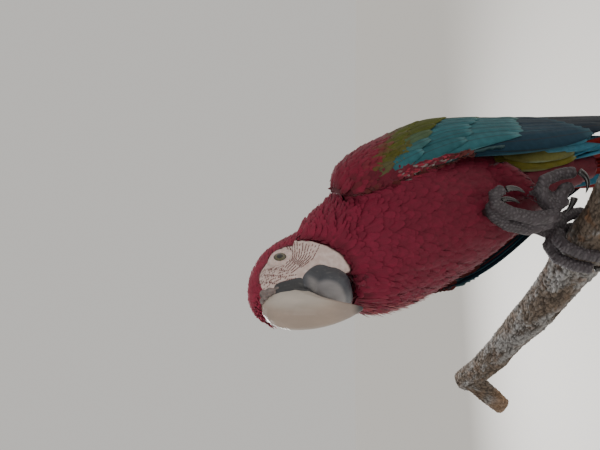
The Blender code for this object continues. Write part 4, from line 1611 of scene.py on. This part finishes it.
def tinted_finish(name, scale, spread, roughness, bump_mm, **surface):
    """The piece's own colours, mottled at one scale, with a matching bump."""
    shader = Shader(name, **surface)
    coarse, fine = shader.noise(scale, 5), shader.noise(scale * 5, 4)
    mottled = shader.toned(shader.colour("tint"), coarse.over(0.3, 0.7), grey(1 - spread),
                           grey(1 + 0.7 * spread))
    colour = shader.toned(mottled, fine.over(0.3, 0.7), grey(0.80), grey(1.14))
    return shader.finish(Base_Color=colour, Roughness=roughness + fine * 0.22,
                         Normal=shader.bump(coarse + fine * 0.5, bump_mm, 0.6))


FOOT_FINISH = tinted_finish("scaly feet", 500, 0.20, 0.48, 0.15, Specular_IOR_Level=0.4)
CLAW_FINISH = tinted_finish("claw horn", 260, 0.35, 0.16, 0.05, Coat_Weight=0.5,
                            Coat_Roughness=0.15)
BARK_FINISH = tinted_finish("bark", 230, 0.28, 0.72, 0.7, Specular_IOR_Level=0.25)


def toe_tops():
    """For each face of the skin, how squarely it looks out of the curl of its own toe."""
    tops = np.full(len(CENTRE), -1.0)
    for toe in TOES:
        own = np.flatnonzero(skin.face_home == FLESH.index(toe))
        points = coordinates(nodes[toe].data)
        ankle = middle(f"leg_{toe.split('_')[1]}_shank")
        start = points[np.argmin(np.linalg.norm(points - ankle, axis=1))]
        hollow = (start + middle(toe.replace("toe", "claw"))) / 2
        away, ahead = CENTRE[own] - hollow, skin.face_flow[own]
        away = away - ahead * np.sum(away * ahead, axis=1)[:, None]
        tops[own] = np.sum(unit(away) * skin.face_normal[own], axis=1)
    return tops


SCALE_SIDES = 12


class Scale:
    """A low dome with a sunk rim, in the same measures as a vane."""

    def __init__(self):
        turns = np.arange(SCALE_SIDES) * 2 * math.pi / SCALE_SIDES + 0.26
        x, y = -np.cos(turns), np.sin(turns)
        rings = [np.stack([x * wide, y * tall, np.full(SCALE_SIDES, rise)], axis=1)
                 for wide, tall, rise in ((1, 1, -0.35), (0.86, 0.74, 0.26))]
        points = np.concatenate([*rings, [(0, 0, 0.46)]])
        self.strand = 0.5 + 0.5 * points[:, :2]
        self.points = points * (1, 0.5, 1) + (0, 0.5, 0)
        # How much of the pale top colour each ring takes: none at the sunk rim, most at the raised
        # top.
        self.worn = np.repeat((0.0, 0.22, 0.40), (SCALE_SIDES, SCALE_SIDES, 1))
        after = np.roll(np.arange(SCALE_SIDES), -1)
        last = np.roll(after, -1)
        ring = [(i, after[i], SCALE_SIDES + after[i], SCALE_SIDES + i)
                for i in range(SCALE_SIDES)]
        top = [(2 * SCALE_SIDES, SCALE_SIDES + i, SCALE_SIDES + after[i], SCALE_SIDES + last[i])
               for i in range(0, SCALE_SIDES, 2)]
        self.quads = np.array(ring + top)


SCALE = Scale()


def scales(faces, spacing_mm, wide_mm, long_mm, bend):
    """Scales on some faces: what vanes_along takes for each, and the colours by point."""
    roots, found = skin.scatter(faces, np.full(len(faces), spacing_mm))
    ahead, normals = unit(skin.face_flow[found]), skin.face_normal[found]
    level = unit(ahead - normals * np.sum(ahead * normals, axis=1)[:, None])
    sizes = luck.uniform(0.88, 1.12, len(roots))
    reach = ahead * (sizes * long_mm * MM)[:, None]
    shafts = roots[:, None] + reach[:, None] * np.linspace(-1, 1, 4)[:, None]
    shade = luck.uniform(0.7, 1.4, len(roots))[:, None, None] * np.array(FOOT_GREY)
    # Each scale lighter towards its raised top than at its sunk rim, by a random amount.
    worn = SCALE.worn[:, None] * luck.uniform(0.3, 1.0, (len(roots), 1, 1))
    tints = shade + worn * (np.array(SCALE_TOP_PALE) - shade)
    return {"shafts": shafts, "headings": np.repeat(level[:, None], 4, axis=1),
            "normals": np.repeat(normals[:, None], 4, axis=1),
            "roots": unwrapped(roots, skin.face_home[found]), "tints": tints.reshape(-1, 3),
            "width": 2 * wide_mm * sizes, "dome": np.full(len(roots), 1 / wide_mm),
            "curl": np.full(len(roots), bend * wide_mm)}


def foot_scales():
    """Small scales all over shanks and toes, and wide plates along the tops of the toes."""
    tops = toe_tops()
    on_feet = np.isin(FACE_KIND, ("toe", "shank"))
    small = scales(np.flatnonzero(on_feet & (tops < 0.72)), 2.15, 1.55, 1.2, 0.08)
    plates = scales(np.flatnonzero(on_feet & (tops > 0.975)), 2.5, 3.7, 1.5, 0.085)
    both = {key: np.concatenate([small[key], plates[key]]) for key in small}
    tints = both.pop("tints")
    mesh = vanes_along(SCALE, patch=(0.0, 0.0), material=FOOT_FINISH, colours={}, **both)
    mesh.uv_layers.remove(mesh.uv_layers["strand"])
    colour_points(mesh, "tint", tints)
    finish(shown("foot_scales", mesh, FOOT_FINISH), "grey scaly skin")


def claw_line(claw, toe):
    """Points down the middle of a claw, from inside its toe to its tip."""
    points = coordinates(claw)
    tree = BVHTree.FromPolygons([Vector(p) for p in coordinates(toe)],
                                [tuple(face.vertices) for face in toe.polygons])
    away = np.array([tree.find_nearest(Vector(p))[3] for p in points])
    root = points[away < away.min() + 1.5 * MM].mean(axis=0)
    tip = points[np.argmax(away)]
    along = (points - root) @ unit(tip - root) / np.linalg.norm(tip - root)
    stops = np.linspace(-0.12, 1.04, CLAW_RINGS)
    return np.stack([np.polyval(np.polyfit(along, values, 2), stops) for values in points.T],
                    axis=1)


def claws():
    """Curved horn cones that taper to a point, one along each claw's own line."""
    points, faces, tints = [], [], []
    for name in CLAWS:
        line = claw_line(nodes[name].data, nodes[name.replace("claw", "toe")].data)
        ahead = unit(np.gradient(line, axis=0))
        bend = unit(np.cross(ahead[0], ahead[-1] + 1e-4))
        start = len(points)
        for place, way, t in zip(line, ahead, np.linspace(0, 1, CLAW_RINGS)):
            radius = 2.75 * MM * (1 - t) ** 0.62 + 0.12 * MM
            over = unit(np.cross(bend, way))
            for angle in np.arange(CLAW_SIDES) * 2 * math.pi / CLAW_SIDES:
                groove = 1 - 0.12 * smooth_step(0.75, 1.0, -math.sin(angle))
                points.append(place + radius * groove * (0.84 * bend * math.cos(angle)
                                                         + over * math.sin(angle)))
                tints.append(mixed(CLAW_GREY, CLAW_BLACK, smooth_step(0, 0.4, t)))
        faces += [(start + r * CLAW_SIDES + k, start + r * CLAW_SIDES + (k + 1) % CLAW_SIDES,
                   start + (r + 1) * CLAW_SIDES + (k + 1) % CLAW_SIDES,
                   start + (r + 1) * CLAW_SIDES + k)
                  for r in range(CLAW_RINGS - 1) for k in range(CLAW_SIDES)]
        for ring, inward in ((0, ahead[0] * -0.5), (CLAW_RINGS - 1, ahead[-1] * 0.5)):
            points.append(line[ring] + inward * MM)
            tints.append(CLAW_TIP)
            cap = start + ring * CLAW_SIDES
            faces += [(len(points) - 1, cap + k, cap + (k + 1) % CLAW_SIDES,
                       cap + (k + 2) % CLAW_SIDES) for k in range(0, CLAW_SIDES, 2)]
    mesh = mesh_of_quads("claws", points, np.array(faces), {}, {"tint": tints})
    turned_out(mesh)
    finish(shown("claws", mesh, CLAW_FINISH), "black horn", *CLAWS)


def branch():
    """Rough bark in plates and cracks, bare wood at the cut ends."""
    mesh = remeshed(["perch_branch", "perch_fork"], 1.15)
    pairs = edge_pairs(mesh)
    points = relaxed(coordinates(mesh), pairs, 12)
    move_to(mesh, points)
    normals = unit(relaxed(vertex_normals(mesh), pairs, 3))
    trunk = coordinates(nodes["perch_branch"].data)
    centre = trunk.mean(axis=0)
    way = np.linalg.svd(trunk - centre, full_matrices=False)[2][0]
    stub = coordinates(nodes["perch_fork"].data)
    lowest = stub[np.argsort(stub[:, 2])[:8]]
    stub_way = unit(lowest.mean(axis=0) - stub.mean(axis=0))
    away = [[tree.find_nearest(Vector(p))[3] for p in points]
            for tree, _ in (tree_of(["perch_fork"]), tree_of(["perch_branch"]))]
    on_stub = np.less(*away)
    axis = np.where(on_stub[:, None], stub_way, way)
    cut = smooth_step(0.72, 0.90, np.abs(np.sum(normals * axis, axis=1)))
    spots = points / MM
    squeezed = spots - axis * (np.sum(spots * axis, axis=1) * 0.62)[:, None]
    height, crack, patch = np.empty((3, len(points)))
    for index, spot in enumerate(squeezed):
        spot = Vector(spot)
        warped = spot + noise.noise_vector(spot * 0.12) * 3.2
        near = noise.voronoi(warped * 0.27)[0]
        crack[index] = near[1] - near[0]
        height[index] = noise.noise(warped * 0.11) * 1.2 + abs(noise.noise(spot * 0.42)) * 1.3
        patch[index] = noise.noise(spot * 0.045 + Vector((9, 4, 2)))
    open_crack = smooth_step(0.16, 0.0, crack)
    fine = np.array([noise.noise(Vector(s) * 0.85) for s in squeezed])
    lift = (height + 0.5 * fine - 1.4 * open_crack) * (1 - cut) + 0.12 * fine * cut
    points = points + normals * ((lift - 0.2) * MM)[:, None]
    move_to(mesh, points)
    share = smooth_step(-0.25, 0.35, patch + 0.6 * (height - 0.4))
    rust = smooth_step(0.05, 0.45, np.array([noise.noise(Vector(s) * 0.09) for s in spots]))
    near_feet = smooth_step(0.11, 0.03, np.linalg.norm(points - middle(*TOES), axis=1))
    # Darker in the open cracks and low hollows of the bark: painted shade in the recesses.
    dark = np.clip(open_crack + smooth_step(0.1, -0.5, height), 0, 1)
    tint = blended(BARK_BROWN, BARK_PALE, share)
    tint = blended(tint, BARK_RUST, rust * (0.25 + 0.6 * near_feet))
    tint = blended(tint, BARK_DARK, 0.75 * dark)
    far = np.sum(points * stub_way, axis=1)
    bare = on_stub * smooth_step(far.max() - 0.030, far.max() - 0.012, far)
    bare = relaxed(np.maximum(bare * 0.8, cut), pairs, 1)
    off = points - np.where(on_stub[:, None], stub.mean(axis=0), centre)
    radius = np.linalg.norm(off - axis * np.sum(off * axis, axis=1)[:, None], axis=1) / MM
    ring = 0.82 + 0.18 * np.sin(radius * 3.2 + fine)
    tint = blended(tint, np.array(BARE_WOOD) * ring[:, None], bare)
    colour_points(mesh, "tint", np.clip(tint, 0.005, 1))
    smooth_faces(mesh)
    finish(shown("perch", mesh, BARK_FINISH), "bark", "perch_branch", "perch_fork")


def turned(name, profile, centre, material, slot, *replaced, segments=96):
    """A closed shape turned about an upright line: radius and height of its profile."""
    rows = len(profile)
    angles = np.arange(segments) * 2 * math.pi / segments
    points = [(centre[0] + r * math.cos(a), centre[1] + r * math.sin(a), z)
              for a in angles for r, z in profile]
    quads = [(t * rows + r, (t + 1) % segments * rows + r, (t + 1) % segments * rows + r + 1,
              t * rows + r + 1) for t in range(segments) for r in range(rows - 1)]
    mesh = mesh_of_quads(name, points, np.array(quads), {}, {})
    turned_out(mesh, merge=True)
    smooth_faces(mesh)
    finish(shown(name, mesh, material), slot, *replaced)


def lacquer_finish():
    shader = Shader("black lacquer", Coat_Weight=0.6, Coat_Roughness=0.12)
    grain = shader.noise(60, 5, stretch=(1, 8, 1))
    fine = shader.noise(900, 3)
    colour = shader.mix(grain.over(0.3, 0.7), (0.012, 0.011, 0.011), (0.022, 0.020, 0.019))
    return shader.finish(Base_Color=colour, Roughness=0.30 + grain * 0.12,
                         Normal=shader.bump(grain + fine * 0.2, 0.08, 0.4))


def steel_finish():
    shader = Shader("dark brushed steel", Metallic=0.9)
    brushed = shader.noise(40, 4, stretch=(14, 14, 1.5))
    worn = shader.noise(90, 4)
    colour = shader.mix(worn.over(0.35, 0.75), (0.100, 0.102, 0.107), (0.125, 0.127, 0.134))
    return shader.finish(Base_Color=colour, Roughness=0.30 + brushed * 0.18,
                         Normal=shader.bump(brushed, 0.05, 0.4))


def display_stand():
    """A round plinth and its flanged column; the profiles are in mm from the CAD edges."""
    low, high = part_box("stand_base")
    outer, top = (high[0] - low[0]) / 2, high[2]
    lip = [(-5 * (1 - math.cos(a)), -5 + 5 * math.sin(a)) for a in np.linspace(0, math.pi / 2, 8)]
    lip += [(-9, 0), (-10, -0.6), (-11.4, -0.6), (-12.4, 0)]
    profile = [(0, low[2]), (outer - 6 * MM, low[2]), (outer - 5 * MM, low[2] + 1 * MM),
               (outer - 1 * MM, low[2] + 1.4 * MM)]
    profile += [(outer + r * MM, top + z * MM) for r, z in lip] + [(0, top)]
    turned("stand_plinth", profile, middle("stand_base"), lacquer_finish(), "black lacquer",
           "stand_base")
    low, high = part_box("stand_rod")
    rod = middle("stand_rod")
    radius, foot, head = (high[0] - low[0]) / 2, low[2], high[2]
    points = coordinates(nodes["stand_rod"].data)
    on_shaft = (points[:, 2] > foot + 15 * MM) & (points[:, 2] < foot + 0.4)
    slim = np.abs(points[on_shaft][:, 0] - rod[0]).max() if on_shaft.any() else radius / 2
    flange = [(0, foot), (radius, foot), (radius, foot + 4.2 * MM),
              (radius - 1 * MM, foot + 5.4 * MM)]
    flange += [(slim + out * MM, foot + rise * MM)
               for out, rise in ((2.2, 6.5), (1.2, 9), (1.0, 14), (0, 15))]
    flange += [(slim, head - 26 * MM), (slim + 0.3 * MM, head - 25.4 * MM)]
    flange += [(r * MM, head - drop * MM) for r, drop in ((9, 24.5), (9, 1), (8, 0), (0, 0))]
    turned("stand_column", flange, rod, steel_finish(), "dark steel", "stand_rod")


foot_scales()
claws()
branch()
display_stand()

# ---------------------------------------------------------------- skin, shown


def skin_finish():
    shader = Shader("skin under the feathers and bare skin", Specular_IOR_Level=0.35)
    fine = shader.noise(1400, 3)
    folds = shader.noise(420, 4, stretch=(1, 1, 0.55))
    colour = shader.toned(shader.colour("tint"), shader.noise(240, 4).over(0.3, 0.7),
                          (0.86, 0.80, 0.78), grey(1.06))
    return shader.finish(Base_Color=colour, Roughness=0.55 + fine * 0.15,
                         Normal=shader.bump(fine * 0.4 + folds, 0.35, 0.5))


def show_skin():
    mesh = skin.mesh
    tint = blended(plumage(skin.points, skin.kind) * 0.45, BARE_SKIN, skin.bare)
    scaly = relaxed(np.isin(skin.kind, ("toe", "shank")).astype(float), skin.pairs, 2)
    colour_points(mesh, "tint", blended(tint, FOOT_GREY, scaly))
    map_points(mesh, "OFBake", unwrapped(skin.points, skin.home), skin.quads)
    piece = shown("skin", mesh, skin_finish())
    covered = piece.vertex_groups.new(name="covered")
    weights = np.clip(skin.depth, 0, 1)
    for index in np.flatnonzero(weights > 0.01):
        covered.add([int(index)], float(weights[index]), "REPLACE")
    thin = piece.modifiers.new("thin", "DECIMATE")
    thin.ratio = 0.5
    thin.vertex_group = "covered"
    mesh = applied(piece)
    if "covered" in mesh.attributes:
        mesh.attributes.remove(mesh.attributes["covered"])
    finish(shown("skin", mesh, mesh.materials[0]), "red feathers", *FLESH)


show_skin()

# ---------------------------------------------------------------- stage, light and camera


def pale_floor():
    mesh = bpy.data.meshes.new("floor")
    half = 60.0
    mesh.from_pydata([(-half, -half, 0), (half, -half, 0), (half, half, 0), (-half, half, 0)],
                     [], [(0, 1, 2, 3)])
    shader = Shader("pale floor", Roughness=0.85, Emission_Strength=0.15)
    shader.put(shader.surface.inputs["Emission Color"], (0.80, 0.775, 0.735))
    floor = shown("floor", mesh, shader.finish(Base_Color=(0.80, 0.78, 0.745)))


def soft_light(name, place, target, size, power):
    data = bpy.data.lights.new(name, "AREA")
    data.shape = "DISK"
    data.size = size
    data.energy = power
    light = linked(name, data)
    light.location = place
    light.rotation_euler = (Vector(target) - Vector(place)).to_track_quat("-Z", "Y").to_euler()


def studio():
    world = bpy.data.worlds.new("studio")
    bpy.context.scene.world = world
    world.use_nodes = True
    sky = world.node_tree.nodes["Background"]
    sky.inputs["Color"].default_value = (0.80, 0.775, 0.735, 1)
    sky.inputs["Strength"].default_value = 0.80
    bird = tuple(middle("breast"))
    soft_light("window", (-1.5, 0.9, 1.5), bird, 1.2, 50)
    soft_light("fill", (1.2, -1.6, 1.5), bird, 1.4, 9)


CAMERA_PLACE = (0.26997, -0.34174, 0.662)
CAMERA_TURN, CAMERA_TILT = math.radians(40), math.radians(6.2)
CAMERA_LENS = 27.9


def camera():
    """A view tilted up a little, with the camera itself a quarter turn on its side."""
    ahead = Vector((-math.sin(CAMERA_TURN) * math.cos(CAMERA_TILT),
                    math.cos(CAMERA_TURN) * math.cos(CAMERA_TILT), math.sin(CAMERA_TILT)))
    right = Vector((math.cos(CAMERA_TURN), math.sin(CAMERA_TURN), 0))
    above = right.cross(ahead)
    data = bpy.data.cameras.new("camera")
    data.lens = CAMERA_LENS
    data.sensor_width = 36
    data.clip_start = 0.01
    thing = linked("camera", data)
    turned = Matrix((-above, right, -ahead)).transposed().to_4x4()
    thing.matrix_world = Matrix.Translation(CAMERA_PLACE) @ turned
    bpy.context.scene.camera = thing


pale_floor()
studio()
camera()
